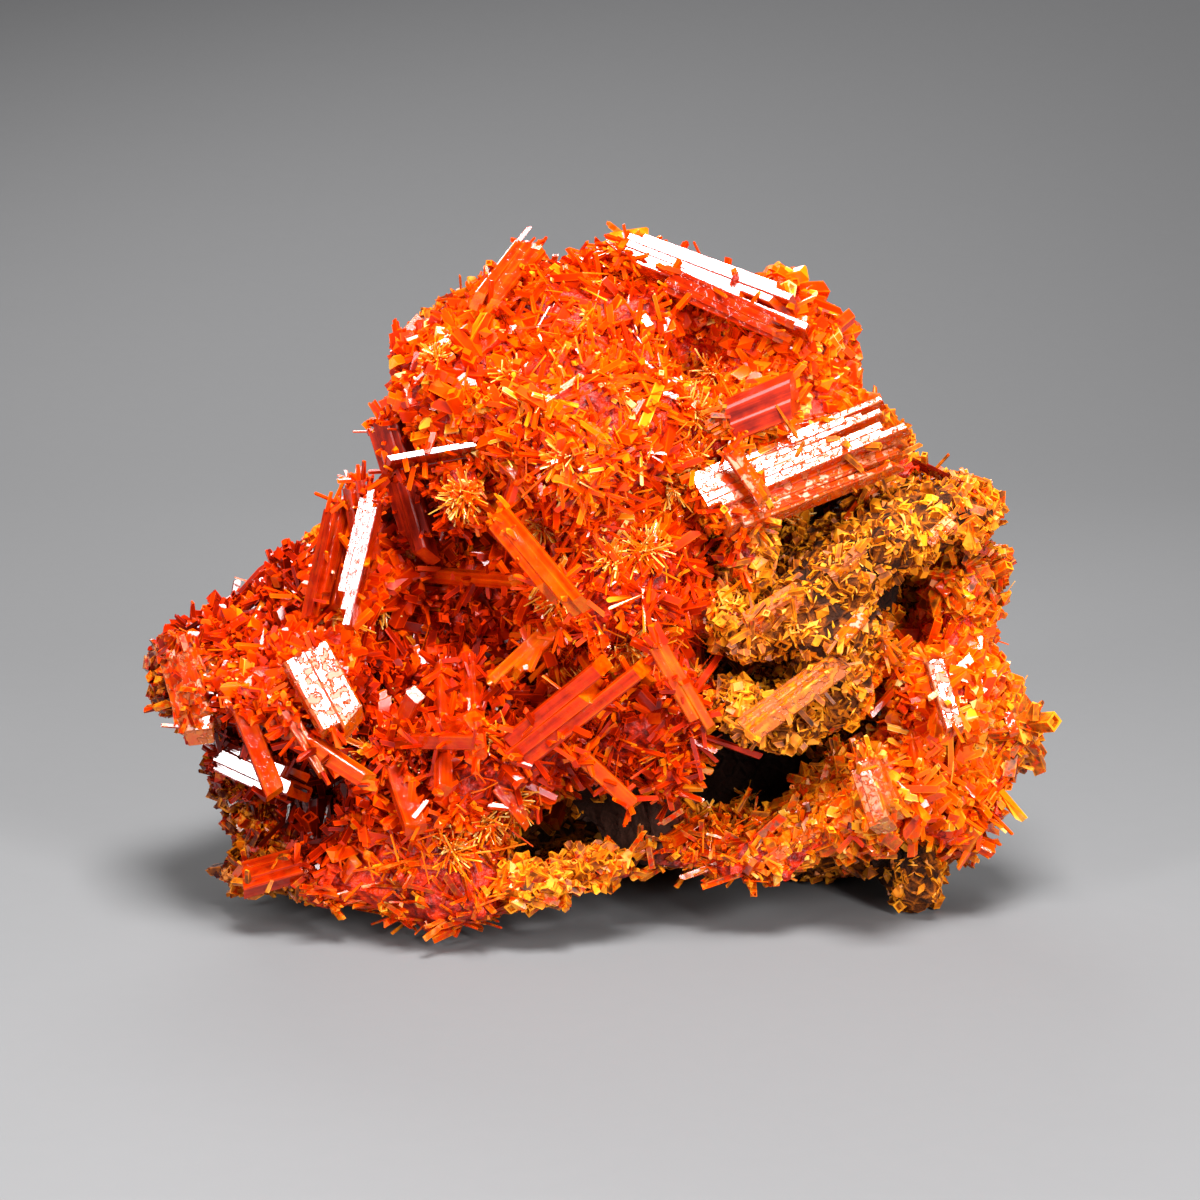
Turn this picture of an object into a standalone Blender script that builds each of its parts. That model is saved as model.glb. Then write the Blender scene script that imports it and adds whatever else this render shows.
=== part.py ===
"""A hand-sized crocoite specimen: a slab of rusty gossan, a thick crust of intergrown
orange-red crocoite crystals over its front and top, and the large single prisms and
blades that stand in that crust.

Metres, +Z up. The origin is at the bottom centre of the specimen, which rests on the
ground flat under its gossan. The crusted face looks towards -Y.
"""

import math
import random

import bmesh
import bpy
from mathutils import Matrix, Vector
from mathutils.bvhtree import BVHTree

MM = 0.001

# ---------------------------------------------------------------- driving dimensions
SEED = 7
GAP = 0.35 * MM  # between a large crystal and its socket, and between crust and gossan
ROOT = 2.2 * MM  # how deep a crust crystal is rooted in the mass that it grew from
FLAT_REACH = 140 * MM  # the side of the block that trims everything below the ground flat

FEWEST_CORNERS = 9  # of a boulder, before those that its size adds
CORNERS_PER_MM = 0.22  # of its three radii together
UNEVEN = 0.07  # how far a boulder's corners stand in or out, as a share of its radius
NUDGE = 0.16  # how far a direction on the unit sphere is moved off an even spread

LOWEST_SPOT = 2.0 * MM  # nothing small grows below this height
MOST_OVERHUNG = -0.4  # of a surface normal's z, past which nothing small grows
GROWTH = 0.45  # the share of spots that grow something on a side face
FRONT_GROWTH = 0.75  # what facing the front adds to that share, and facing back takes off
CRYSTAL_SPACING = 5.0  # in mm2 of a lump's mean radius product, so smaller is denser
PLATE_SPACING = 9.0
KNOB_SPACING = 22.0
LYING_SHARE = 0.3  # of the small crystals lie along the surface, and the rest stand out

# Each lump is an ellipsoid that a rough, flat-faced boulder is shaped on:
# (centre x, y, z), (radius x, y, z), in millimetres.
CRUST_LUMPS = {
    "dome": ((-1.3, -6, 52), (15.5, 19, 15.0)),
    "dome_brow": ((-3.8, -12, 58), (9.0, 9, 7.0)),
    "dome_left": ((-13.8, -2, 58.0), (10.5, 16, 9.5)),
    "dome_cheek": ((-16.3, -6, 54.0), (5.5, 11, 5.5)),
    "dome_crest": ((-5.8, 1, 65.5), (9.5, 13, 6.5)),
    "dome_top": ((4.7, 1, 66.0), (8.5, 13, 6.8)),
    "dome_right": ((18.7, 3, 61.8), (10.8, 14, 7.8)),
    "dome_flank": ((13.7, -6, 50.5), (8.0, 13, 9.0)),
    "dome_foot": ((2.2, -9, 37.0), (13.5, 17, 11.0)),
    "shoulder": ((25.2, 2, 51.5), (7.5, 14, 8.0)),
    "shoulder_edge": ((30.4, 4, 47.5), (7.0, 11, 7.5)),
    "right_upper": ((38.7, 1, 35.5), (6.5, 14, 9.5)),
    "right_lower": ((37.2, -4, 24.5), (8.5, 15, 9.5)),
    "right_tip": ((45.4, -2, 18.5), (4.2, 9, 6.0)),
    "right_heel": ((38.2, -6, 11.0), (6.4, 10, 7.2)),
    "right_base": ((28.2, -9, 13.0), (9.5, 14, 8.0)),
    "base_middle": ((16.7, -10, 8.5), (8.5, 12, 5.5)),
    "base_inner": ((6.2, -7, 8.4), (8.5, 12, 5.6)),
    "front_foot": ((-15.8, -15, 6.8), (10.0, 12.5, 8.2)),
    "front": ((-12.3, -13, 19.0), (12.0, 13, 9.5)),
    "front_left": ((-22.8, -12, 15.0), (7.0, 12, 8.5)),
    "waist": ((4.2, -10, 23.5), (11.0, 14, 9.5)),
    "waist_foot": ((2.2, -4, 15.5), (9.0, 11, 6.5)),
    "left_lobe": ((-32.3, -8, 27.0), (12.5, 16, 7.5)),
    "left_tip": ((-44.2, -3, 25.5), (6.8, 11, 7.0)),
    "left_brow": ((-36.8, 1, 31.0), (8.0, 11, 4.5)),
    "left_low": ((-35.4, -4, 14.5), (8.6, 9.5, 9.0)),
    "left_nub": ((-36.8, -8, 4.8), (5.4, 9, 5.0)),
    "left_foot": ((-27.8, -11, 6.5), (6.5, 12, 6.5)),
    "left_slope": ((-27.3, 0, 36.0), (8.8, 14, 7.2)),
    "neck": ((-20.3, 3, 43.5), (6.0, 11, 7.5)),
    "hollow_floor": ((-11.8, 0, 33.0), (11.0, 12, 11.0)),
}
GOSSAN_LUMPS = {
    "core": ((-0.3, 13, 34), (23.0, 12, 31.0)),
    "left": ((-26.8, 12, 18), (17.0, 11, 13.0)),
    "right": ((26.2, 12, 26), (16.5, 12, 21.0)),
    "base": ((-0.8, 15, 6), (29.0, 11, 9.0)),
    "base_left": ((-24.8, 8, 6), (9.0, 11, 8.0)),
    "base_right": ((24.2, 9, 6), (10.0, 11, 8.0)),
    "crown": ((11.7, 8, 57), (12.0, 9, 6.5)),
    "back_knob": ((-10.8, 21, 45), (11.0, 7, 12.0)),
    "back_shelf": ((11.2, 22, 24), (14.0, 7, 9.0)),
    "back_heel": ((-18.8, 21, 12), (11.0, 6, 9.0)),
    "back_rib": ((21.2, 20, 42), (8.0, 6, 9.0)),
    "ridge_root": ((24.2, 2, 33.5), (10.0, 11, 9.5)),
    "ridge_low": ((16.2, -13, 32.5), (4.5, 8, 3.2)),
    "ridge_rise": ((20.7, -12, 35.0), (5.5, 9, 4.2)),
    "ridge_middle": ((25.2, -9, 38.5), (6.0, 10, 4.8)),
    "ridge_high": ((30.7, -7, 42.0), (6.0, 10, 4.6)),
    "ridge_end": ((37.2, -2, 43.0), (6.0, 10, 4.4)),
    "ridge_cheek": ((24.7, -12, 31.5), (6.0, 9, 5.0)),
    "ledge": ((19.2, -14, 24.0), (5.5, 9, 3.2)),
    "ledge_root": ((24.7, -12, 26.5), (5.0, 8, 4.0)),
    "lip": ((-0.8, -7, 3.6), (11.5, 10, 4.2)),
    "foot": ((34.2, -6, 6.0), (3.4, 6, 7.5)),
    "foot_root": ((31.2, 0, 8.0), (6.0, 9, 6.0)),
}
BOXWORK = [name for name in GOSSAN_LUMPS if name.split("_")[0] in ("ridge", "ledge", "lip", "foot")]
BACK = [name for name in GOSSAN_LUMPS if name not in BOXWORK]  # and the inside of the rock

# Colours of the crystals: thin ones glow orange, thick ones are deep red.
ORANGE = (0.87, 0.20, 0.02)
SCARLET = (0.75, 0.08, 0.02)
MAROON = (0.28, 0.03, 0.02)
PALE = (0.85, 0.42, 0.30)
OCHRE = (0.62, 0.28, 0.04)

# The large single crystals. Each node is one crystal, or a few grown into each other:
# (root x, y, z), (tip x, y, z), width, thickness, the way its broad face looks, in mm.
LARGE_CRYSTALS = {
    "top_blade": (PALE, [((2.8, -3.8, 71.2), (20.8, -8.0, 64.2), 5.4, 3.2, (0.2, -0.5, 0.8))]),
    "peak_prism": (ORANGE, [((1.8, 3.5, 64.5), (3.4, 2.0, 73.4), 3.2, 2.6, (0.1, -1.0, 0.1))]),
    "top_left_prism": (SCARLET, [((-7.6, -2, 71.2), (-11.8, -10, 66.2), 2.6, 2.0, (-0.3, -0.5, 0.8))]),
    "striated_blades": (
        PALE,
        [
            ((10.2, -17.5, 47.4), (30.2, -10.5, 54.6), 4.6, 2.8, (0.0, -0.8, 0.6)),
            ((12.6, -18.2, 45.2), (32.2, -9.6, 51.2), 3.9, 2.6, (0.0, -0.8, 0.6)),
            ((12.4, -17.0, 54.0), (18, -19.6, 45.2), 1.9, 1.6, (0.3, -0.9, 0.2)),
        ],
    ),
    "plum_prism": (MAROON, [((13.2, -15.5, 55.0), (21.2, -14.5, 58.0), 3.4, 2.8, (0.0, -0.8, 0.6))]),
    "dark_prism": (MAROON, [((-21.8, -11, 49.6), (-14.2, -17.6, 50.6), 2.8, 2.2, (0.0, -0.3, 1.0))]),
    "shadow_prism": (SCARLET, [((-22.4, -8, 54.0), (-18, -9.5, 39.5), 3.4, 2.4, (-0.5, -0.9, 0.0))]),
    "left_blades": (
        PALE,
        [
            ((-23.2, -13.8, 47.6), (-26.4, -14.8, 34.4), 3.0, 2.2, (0.3, -0.9, 0.3)),
            ((-25.2, -12.4, 48.4), (-23.8, -12.6, 38.0), 2.4, 2.0, (0.0, -0.9, 0.3)),
            ((-26.8, -10.8, 45.6), (-29.2, -13.4, 34.6), 3.0, 2.2, (-0.2, -0.9, 0.3)),
        ],
    ),
    "etched_tablet": (PALE, [((-30.2, -21.4, 32.2), (-26, -22.4, 24.4), 4.8, 2.4, (-0.1, -1.0, 0.3))]),
    "tip_prisms": (
        SCARLET,
        [
            ((-43.6, -13, 29.8), (-41.2, -16.6, 22.8), 4.0, 3.0, (-0.2, -0.9, 0.3)),
            ((-40, -15, 28.0), (-41.8, -17.2, 21.0), 2.2, 2.0, (0.2, -0.9, 0.2)),
        ],
    ),
    "flash_prism": (MAROON, [((-40, -11, 18.6), (-31, -15.5, 15.8), 3.2, 3.0, (0.1, -0.7, 0.7))]),
    "leaning_prism": (SCARLET, [((-36.8, -20.6, 26.2), (-32, -21.4, 13.6), 1.8, 1.6, (0.3, -0.9, 0.1))]),
    "crossed_prisms": (
        SCARLET,
        [
            ((-35.4, -19.4, 25.6), (-23.4, -24.4, 19.0), 1.7, 1.5, (0.0, -0.8, 0.6)),
            ((-33.4, -21.2, 28.2), (-28, -22.6, 19.4), 1.3, 1.2, (0.3, -0.9, 0.2)),
        ],
    ),
    "burst_prisms": (
        SCARLET,
        [
            ((-21.7, -20.0, 21.6), (-17.4, -26.6, 11.0), 2.1, 1.8, (0.4, -0.9, 0.2)),
            ((-22.2, -20.0, 21.4), (-8.4, -24.6, 27.4), 2.0, 1.6, (0.0, -0.8, 0.6)),
            ((-21.4, -20.6, 22.6), (-11.2, -28.2, 24.4), 1.6, 1.4, (0.0, -0.8, 0.6)),
            ((-21.6, -20.0, 21.6), (-18.4, -24.6, 29.0), 1.4, 1.2, (-0.4, -0.9, 0.2)),
            ((-16.2, -15.5, 29.5), (-15.6, -27.0, 18.4), 1.7, 1.5, (0.0, -1.0, 0.3)),
            ((-13.4, -15.5, 29.0), (-12, -27.6, 19.8), 2.3, 1.7, (0.1, -1.0, 0.3)),
        ],
    ),
    "middle_prism": (SCARLET, [((-10.2, -19.0, 45.6), (-2.4, -28.0, 38.0), 3.6, 2.6, (0.2, -0.9, 0.3))]),
    "orange_prism": (ORANGE, [((-4.2, -20.4, 34.8), (-11.2, -21.6, 28.2), 1.8, 1.5, (-0.2, -0.9, 0.3))]),
    "red_slab": (SCARLET, [((-8.8, -25.4, 21.6), (2.8, -26.4, 31.6), 4.9, 2.8, (0.2, -0.9, 0.3))]),
    "waist_prism": (ORANGE, [((5.8, -24.6, 33.6), (11.2, -23.8, 23.8), 1.7, 1.4, (0.2, -0.9, 0.1))]),
    "low_prism": (SCARLET, [((-1.8, -22.6, 21.4), (5.6, -20.0, 13.6), 1.9, 1.6, (0.0, -0.9, 0.3))]),
    "ochre_blade": (OCHRE, [((14.8, -22.0, 23.8), (25.6, -20.8, 31.6), 4.0, 2.0, (0.0, -0.8, 0.6))]),
    "right_lobe_blade": (PALE, [((34.4, -18.2, 30.6), (37, -20.0, 21.6), 2.6, 1.8, (0.2, -0.9, 0.2))]),
    "base_block": (PALE, [((27.4, -20.5, 20.6), (29.8, -23.4, 13.2), 3.6, 2.8, (0.0, -1.0, 0.2))]),
    "nub_slab": (SCARLET, [((-30.8, -17.2, 8.2), (-39.8, -15.6, 4.8), 3.6, 2.8, (-0.2, -0.7, 0.7))]),
}


# ------------------------------------------------------------------------- materials
def finish(name, colour, roughness):
    """A plain Principled material in the piece's own colour."""
    material = bpy.data.materials.new(name)
    material.use_nodes = True
    shader = material.node_tree.nodes["Principled BSDF"]
    shader.inputs["Base Color"].default_value = (*colour, 1.0)
    shader.inputs["Roughness"].default_value = roughness
    material.diffuse_color = (*colour, 1.0)
    return material


# ----------------------------------------------------------------------- mesh helpers
def object_from(bm, name):
    """Turns a bmesh into a named object in the scene, with its faces pointing out."""
    bmesh.ops.recalc_face_normals(bm, faces=bm.faces)
    mesh = bpy.data.meshes.new(name)
    bm.to_mesh(mesh)
    bm.free()
    made = bpy.data.objects.new(name, mesh)
    bpy.context.scene.collection.objects.link(made)
    return made


def combine(target, operation, operands):
    """Joins the operands to the target, or cuts them from it, and discards them."""
    group = bpy.data.collections.new("operands")
    for operand in operands:
        group.objects.link(operand)
    modifier = target.modifiers.new(operation.title(), "BOOLEAN")
    modifier.operation = operation
    modifier.operand_type = "COLLECTION"
    modifier.collection = group
    graph = bpy.context.evaluated_depsgraph_get()
    result = bpy.data.meshes.new_from_object(target.evaluated_get(graph))
    target.modifiers.clear()
    target.data = result
    for operand in operands:
        bpy.data.objects.remove(operand)
    bpy.data.collections.remove(group)
    return target


def keep_largest_body(target):
    """Drops the chips that a cut has parted from the main body."""
    bm = bmesh.new()
    bm.from_mesh(target.data)
    left = set(bm.verts)
    bodies = []
    while left:
        front = [left.pop()]
        body = set(front)
        while front:
            for edge in front.pop().link_edges:
                for vert in edge.verts:
                    if vert in left:
                        left.remove(vert)
                        body.add(vert)
                        front.append(vert)
        bodies.append(body)
    largest = max(bodies, key=len)
    bmesh.ops.delete(bm, geom=[v for v in bm.verts if v not in largest], context="VERTS")
    bm.to_mesh(target.data)
    bm.free()


def trim_below_ground(target):
    """Cuts the piece off flat at z = 0."""
    bm = bmesh.new()
    bmesh.ops.create_cube(
        bm, size=FLAT_REACH, matrix=Matrix.Translation((0, 0, -FLAT_REACH / 2))
    )
    combine(target, "DIFFERENCE", [object_from(bm, "ground")])


# ------------------------------------------------------------------------------ lumps
def directions(count, rng):
    """Directions spread evenly over a sphere on a spiral, each nudged a little."""
    golden = math.pi * (3 - math.sqrt(5))
    for index in range(count):
        height = 1 - 2 * (index + 0.5) / count
        ring = math.sqrt(1 - height * height)
        nudge = Vector((rng.uniform(-1, 1), rng.uniform(-1, 1), rng.uniform(-1, 1)))
        turn = golden * index
        point = Vector((ring * math.cos(turn), ring * math.sin(turn), height))
        yield (point + NUDGE * nudge).normalized()


def boulder(name, centre, radii, rng, grow=0.0):
    """A rough convex boulder with flat faces, on its ellipsoid grown by `grow`."""
    corners = round(FEWEST_CORNERS + CORNERS_PER_MM * sum(radii))
    bm = bmesh.new()
    for way in directions(corners, rng):
        reach = rng.uniform(1 - UNEVEN, 1 + UNEVEN)
        place = [c * MM + way[i] * (reach * radii[i] * MM + grow) for i, c in enumerate(centre)]
        bm.verts.new(place)
    bmesh.ops.convex_hull(bm, input=bm.verts)
    bmesh.ops.delete(bm, geom=[v for v in bm.verts if not v.link_faces], context="VERTS")
    return object_from(bm, name)


def mass_of(name, lumps, grow=0.0):
    """All the lumps of one mass, joined into one solid."""
    rng = random.Random(SEED)
    boulders = [
        boulder(f"{name}_{lump}", centre, radii, rng, grow=grow)
        for lump, (centre, radii) in lumps.items()
    ]
    mass = boulders.pop(0)
    mass.name = name
    return combine(mass, "UNION", boulders)


def depth_in(lump, point):
    """Below 1 inside the lump's ellipsoid, above 1 outside it."""
    centre, radii = lump
    return sum(((point[i] / MM - centre[i]) / radii[i]) ** 2 for i in range(3))


# --------------------------------------------------------------------------- crystals
def prism_mesh(corners, base, length, cuts):
    """A straight prism along +Z from `base` up to `length`, its top cut by planes.

    Each cut is (height on the axis, lean, heading): the plane passes the axis at that
    height, leans by that angle from level and falls away towards that heading.
    """
    bm = bmesh.new()
    floor = bm.faces.new([bm.verts.new((x, y, base)) for x, y in corners])
    grown = bmesh.ops.extrude_face_region(bm, geom=[floor])
    lifted = [v for v in grown["geom"] if isinstance(v, bmesh.types.BMVert)]
    bmesh.ops.translate(bm, verts=lifted, vec=(0, 0, length - base))
    for height, lean, heading in cuts:
        normal = Vector(
            (math.sin(lean) * math.cos(heading), math.sin(lean) * math.sin(heading), math.cos(lean))
        )
        bmesh.ops.bisect_plane(
            bm,
            geom=bm.verts[:] + bm.edges[:] + bm.faces[:],
            plane_co=(0, 0, height),
            plane_no=normal,
            clear_outer=True,
        )
        bmesh.ops.holes_fill(bm, edges=[e for e in bm.edges if e.is_boundary])
    return bm


def stand(made, place, way, roll):
    """Puts a crystal modelled along +Z at a place, pointing a way, turned on its axis."""
    turn = Vector(way).to_track_quat("Z", "Y").to_matrix().to_4x4()
    made.data.transform(Matrix.Translation(place) @ turn @ Matrix.Rotation(roll, 4, "Z"))
    return made


def grows(place, normal, rng):
    """Whether something small grows here: nothing low or overhung, and most at the front."""
    if place.z < LOWEST_SPOT or normal.z < MOST_OVERHUNG:
        return False
    return rng.random() < GROWTH - FRONT_GROWTH * normal.y


def spots(mass, lumps, names, spacing, rng, shut=()):
    """Spots spread over the open surface of some of a mass's lumps, each with its normal.

    A spot that another lump covers is left out, and so is one inside a `shut` lump.
    """
    bm = bmesh.new()
    bm.from_mesh(mass.data)
    surface = BVHTree.FromBMesh(bm)
    bm.free()
    for name in names:
        centre, radii = lumps[name]
        area = (radii[0] * radii[1] + radii[1] * radii[2] + radii[0] * radii[2]) / 3
        for way in directions(max(4, round(area / spacing)), rng):
            out = Vector([way[i] * radii[i] * MM for i in range(3)])
            place, normal, _, _ = surface.ray_cast(Vector(centre) * MM + 1.4 * out, -out)
            if place is None or normal.dot(out) <= 0 or not grows(place, normal, rng):
                continue
            if depth_in(lumps[name], place) < 1.2 and all(depth_in(s, place) > 0.95 for s in shut):
                yield place, normal


def lying_or_standing(normal, long, short, rng):
    """A crystal's direction and its two ends: half sunk along the surface, or rooted in it."""
    wander = Vector((rng.gauss(0, 1), rng.gauss(0, 1), rng.gauss(0, 1)))
    if rng.random() < LYING_SHARE:
        length = rng.uniform(*long) * MM
        return normal.cross(wander).normalized() + 0.14 * normal, -length, length
    return normal + 0.45 * wander, -ROOT, rng.uniform(*short) * MM


def small_prism(name, place, normal, rng):
    """One four-sided prism of the crust, with the slanted end that crocoite has."""
    width = rng.uniform(0.8, 1.8) * MM
    corners = [(width, 0), (0, width * 0.72), (-width, 0), (0, -width * 0.72)]
    way, base, length = lying_or_standing(normal, (2.4, 4.4), (1.1, 2.6), rng)
    lean = math.radians(rng.uniform(20, 52))
    cuts = [(length, lean, rng.uniform(0, math.tau))]
    made = object_from(prism_mesh(corners, base, 2 * length, cuts), name)
    return stand(made, place + 0.2 * width * normal, way, rng.uniform(0, math.tau))


def boxwork_plate(name, place, normal, rng, grow=0.0):
    """One thin plate of the honeycombed gossan, standing in its surface."""
    width = rng.uniform(1.2, 2.4) * MM + grow
    depth = rng.uniform(0.35, 0.6) * MM + grow
    corners = [(width, -depth), (width, depth), (-width, depth), (-width, -depth)]
    way, base, length = lying_or_standing(normal, (2.0, 3.6), (1.0, 2.0), rng)
    cuts = [(length + 1.3 * grow, math.radians(rng.uniform(5, 40)), rng.uniform(0, math.tau))]
    made = object_from(prism_mesh(corners, base - grow, 2 * length + grow, cuts), name)
    return stand(made, place, way, rng.uniform(0, math.tau))


def knob(name, place, rng, grow=0.0):
    """One small lump of the rugged back."""
    radii = [rng.uniform(1.8, 4.2) for _ in range(3)]
    return boulder(name, place / MM, radii, rng, grow)


def blade(name, root, tip, width, thickness, facing, grow=0.0):
    """One large crystal: an eight-sided blade from root to tip, its tip cut by two planes.

    `grow` makes it bigger all round, as the cutter of its socket.
    """
    root = Vector(root) * MM
    axis = Vector(tip) * MM - root
    length = axis.length + grow
    half = width * MM / 2 + grow
    deep = thickness * MM / 2 + grow
    quarter = [(half, 0.35 * deep), (0.55 * half, deep), (-0.55 * half, deep), (-half, 0.35 * deep)]
    corners = quarter + [(-x, -y) for x, y in quarter]
    cuts = [(length, math.radians(32), 0.3), (length + 0.1 * half, math.radians(28), 2.6)]
    made = object_from(prism_mesh(corners, -grow, length + 2 * half, cuts), name)
    along = axis.normalized()
    broad = Vector(facing)
    broad = (broad - broad.dot(along) * along).normalized()
    turn = Matrix((broad.cross(along), broad, along)).transposed().to_4x4()
    made.data.transform(Matrix.Translation(root) @ turn)
    return made


def large_crystal(name, members, grow=0.0):
    """A large crystal, or the few that grew into each other, as one solid."""
    first, *others = [blade(name, *member, grow=grow) for member in members]
    return combine(first, "UNION", others) if others else first


# -------------------------------------------------------------------------------- build
def make_gossan(name, grow=0.0):
    """The rusty rock: rugged lumps behind, thin boxwork plates on the ridge in front."""
    rng = random.Random(SEED + 2)
    bare = mass_of(name, GOSSAN_LUMPS)
    crust = CRUST_LUMPS.values()
    knobs = [
        knob("knob", place, rng, grow)
        for place, _ in spots(bare, GOSSAN_LUMPS, BACK, KNOB_SPACING, rng, shut=crust)
    ]
    plates = [
        boxwork_plate("plate", place, normal, rng, grow)
        for place, normal in spots(bare, GOSSAN_LUMPS, BOXWORK, PLATE_SPACING, rng, shut=crust)
    ]
    bpy.data.objects.remove(bare)
    return combine(mass_of(name, GOSSAN_LUMPS, grow), "UNION", knobs + plates)


def make_crust(name):
    """The crust: swelling lumps that bristle with small prisms wherever they are open."""
    rng = random.Random(SEED + 1)
    crust = mass_of(name, CRUST_LUMPS)
    gossan = GOSSAN_LUMPS.values()
    prisms = [
        small_prism("prism", place, normal, rng)
        for place, normal in spots(crust, CRUST_LUMPS, CRUST_LUMPS, CRYSTAL_SPACING, rng, shut=gossan)
    ]
    combine(crust, "UNION", prisms)
    return combine(crust, "DIFFERENCE", [make_gossan("gossan_room", grow=GAP)])


def seat(mass):
    """Cuts the large crystals' sockets and the ground flat into a mass."""
    sockets = [
        large_crystal(f"{name}_socket", members, grow=GAP)
        for name, (_, members) in LARGE_CRYSTALS.items()
    ]
    combine(mass, "DIFFERENCE", sockets)
    trim_below_ground(mass)
    keep_largest_body(mass)
    return mass


def paint(made, colour, roughness):
    """Gives a piece its own one material."""
    made.data.materials.clear()
    made.data.materials.append(finish(made.name, colour, roughness))


def main():
    for old in list(bpy.data.objects):
        bpy.data.objects.remove(old)

    paint(seat(make_gossan("gossan_matrix")), (0.20, 0.09, 0.03), 0.85)
    paint(seat(make_crust("crystal_crust")), ORANGE, 0.25)
    for name, (colour, members) in LARGE_CRYSTALS.items():
        paint(large_crystal(name, members), colour, 0.15)


main()
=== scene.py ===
# %% [markdown]
# # Dressing a crocoite specimen
#
# Crocoite is lead chromate. It grows as long, four-sided, glassy prisms of a hot orange-red, and a
# hand-sized piece like this one is a jackstraw heap of them on rusty rock, called gossan. The packed
# model already holds the rock, the swelling crust and the large single crystals at their real size.
# This lesson dresses them: it lays a rough bed over each mass, sows tens of thousands of small
# crystals on it, and models each large crystal again with its lengthwise steps and grooves.

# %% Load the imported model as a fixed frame
import math

import bpy
import numpy as np
from mathutils import Matrix, Vector
from mathutils.bvhtree import BVHTree


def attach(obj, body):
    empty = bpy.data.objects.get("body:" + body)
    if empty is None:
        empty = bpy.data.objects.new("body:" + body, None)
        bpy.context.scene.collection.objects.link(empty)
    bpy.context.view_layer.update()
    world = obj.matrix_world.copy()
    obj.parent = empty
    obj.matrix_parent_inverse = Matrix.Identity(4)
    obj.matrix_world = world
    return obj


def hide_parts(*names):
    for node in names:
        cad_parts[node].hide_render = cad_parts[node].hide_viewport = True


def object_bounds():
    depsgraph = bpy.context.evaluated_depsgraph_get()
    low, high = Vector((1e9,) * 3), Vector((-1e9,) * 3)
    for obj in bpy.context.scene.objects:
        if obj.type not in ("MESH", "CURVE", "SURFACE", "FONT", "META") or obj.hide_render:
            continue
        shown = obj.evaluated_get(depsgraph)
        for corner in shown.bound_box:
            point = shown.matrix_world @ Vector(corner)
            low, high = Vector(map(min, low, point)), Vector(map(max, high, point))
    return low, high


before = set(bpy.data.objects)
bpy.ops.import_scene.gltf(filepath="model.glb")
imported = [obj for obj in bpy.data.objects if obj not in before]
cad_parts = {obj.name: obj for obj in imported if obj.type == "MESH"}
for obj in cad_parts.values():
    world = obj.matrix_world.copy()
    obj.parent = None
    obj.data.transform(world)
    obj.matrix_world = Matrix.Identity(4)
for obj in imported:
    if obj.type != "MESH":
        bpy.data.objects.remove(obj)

scene = bpy.context.scene
cad_low, cad_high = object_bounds()
MM = 0.001
SEED = 11
bpy.ops.object.select_all(action="DESELECT")
print("the specimen is", [round((high - low) / MM, 1) for low, high in zip(cad_low, cad_high)], "mm")

# %% [markdown]
# ## The studio
#
# A mineral is shown on a plain sheet of paper that sweeps up behind it, so that no horizon shows.
# The sheet is a plane whose far edge is extruded upwards and whose fold is bevelled into a round
# sweep. The light is a large softbox overhead, two tall ones at the sides and a wide one behind:
# crystal faces are mirrors, and a face sparkles only if it has something bright and wide to reflect.

# %% Paper sweep, softboxes and camera
SHEET = 2.4  # m, a side of the paper
SHEET_BEHIND = 0.75  # m, from the specimen to the foot of the sweep
SWEEP = 0.5  # m, the radius of the fold
PAPER = (0.165, 0.165, 0.168)


def select_only(thing):
    """Makes one object the selected and the active one."""
    bpy.ops.object.select_all(action="DESELECT")
    thing.select_set(True)
    bpy.context.view_layer.objects.active = thing


bpy.ops.mesh.primitive_plane_add(size=SHEET, location=(0, SHEET_BEHIND - SHEET / 2, 0))
paper = bpy.context.object
paper.name = "paper_sweep"
bpy.ops.object.transform_apply(location=True)
for edge in paper.data.edges:
    edge.select = all(paper.data.vertices[v].co.y > SHEET_BEHIND - MM for v in edge.vertices)
for vertex in paper.data.vertices:
    vertex.select = vertex.co.y > SHEET_BEHIND - MM
for face in paper.data.polygons:
    face.select = False
bpy.ops.object.mode_set(mode="EDIT")
bpy.ops.mesh.select_mode(type="EDGE")
bpy.ops.mesh.extrude_region_move(TRANSFORM_OT_translate={"value": (0, 0, SHEET)})
bpy.ops.object.mode_set(mode="OBJECT")
bpy.ops.object.modifier_add(type="BEVEL")
paper.modifiers[-1].width = SWEEP
paper.modifiers[-1].segments = 24
bpy.ops.object.modifier_apply(modifier=paper.modifiers[-1].name)
bpy.ops.object.shade_smooth()

SOFTBOXES = {
    # place (m), size (m), power (W)
    "overhead": ((0.03, -0.20, 0.42), (0.18, 0.16), 5.0),
    "right_front": ((0.26, -0.44, 0.22), (0.08, 0.20), 3.0),
    "left_front": ((-0.34, -0.38, 0.20), (0.08, 0.18), 1.7),
    "behind": ((-0.10, 0.40, 0.30), (0.30, 0.12), 1.2),
}
AIM = Vector((0, 0, 34)) * MM


def softbox(name, place, size, power):
    """A rectangular area light that looks at the specimen."""
    light = bpy.data.lights.new(name, "AREA")
    light.shape = "RECTANGLE"
    light.size, light.size_y = size
    light.energy = power
    lamp = bpy.data.objects.new(name, light)
    scene.collection.objects.link(lamp)
    lamp.location = place
    lamp.rotation_euler = (AIM - Vector(place)).to_track_quat("-Z", "Y").to_euler()


for name, settings in SOFTBOXES.items():
    softbox(name, *settings)

scene.world = bpy.data.worlds.new("studio")
scene.world.use_nodes = True
room = scene.world.node_tree.nodes["Background"].inputs
room["Color"].default_value = (0.80, 0.82, 0.85, 1)
room["Strength"].default_value = 0.05

LENS = 100  # mm, on a sensor 36 mm wide
ELEVATION = math.radians(12)
DISTANCE = 361 * MM
LOOK_AT = Vector((0.1, 0, 33)) * MM

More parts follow.
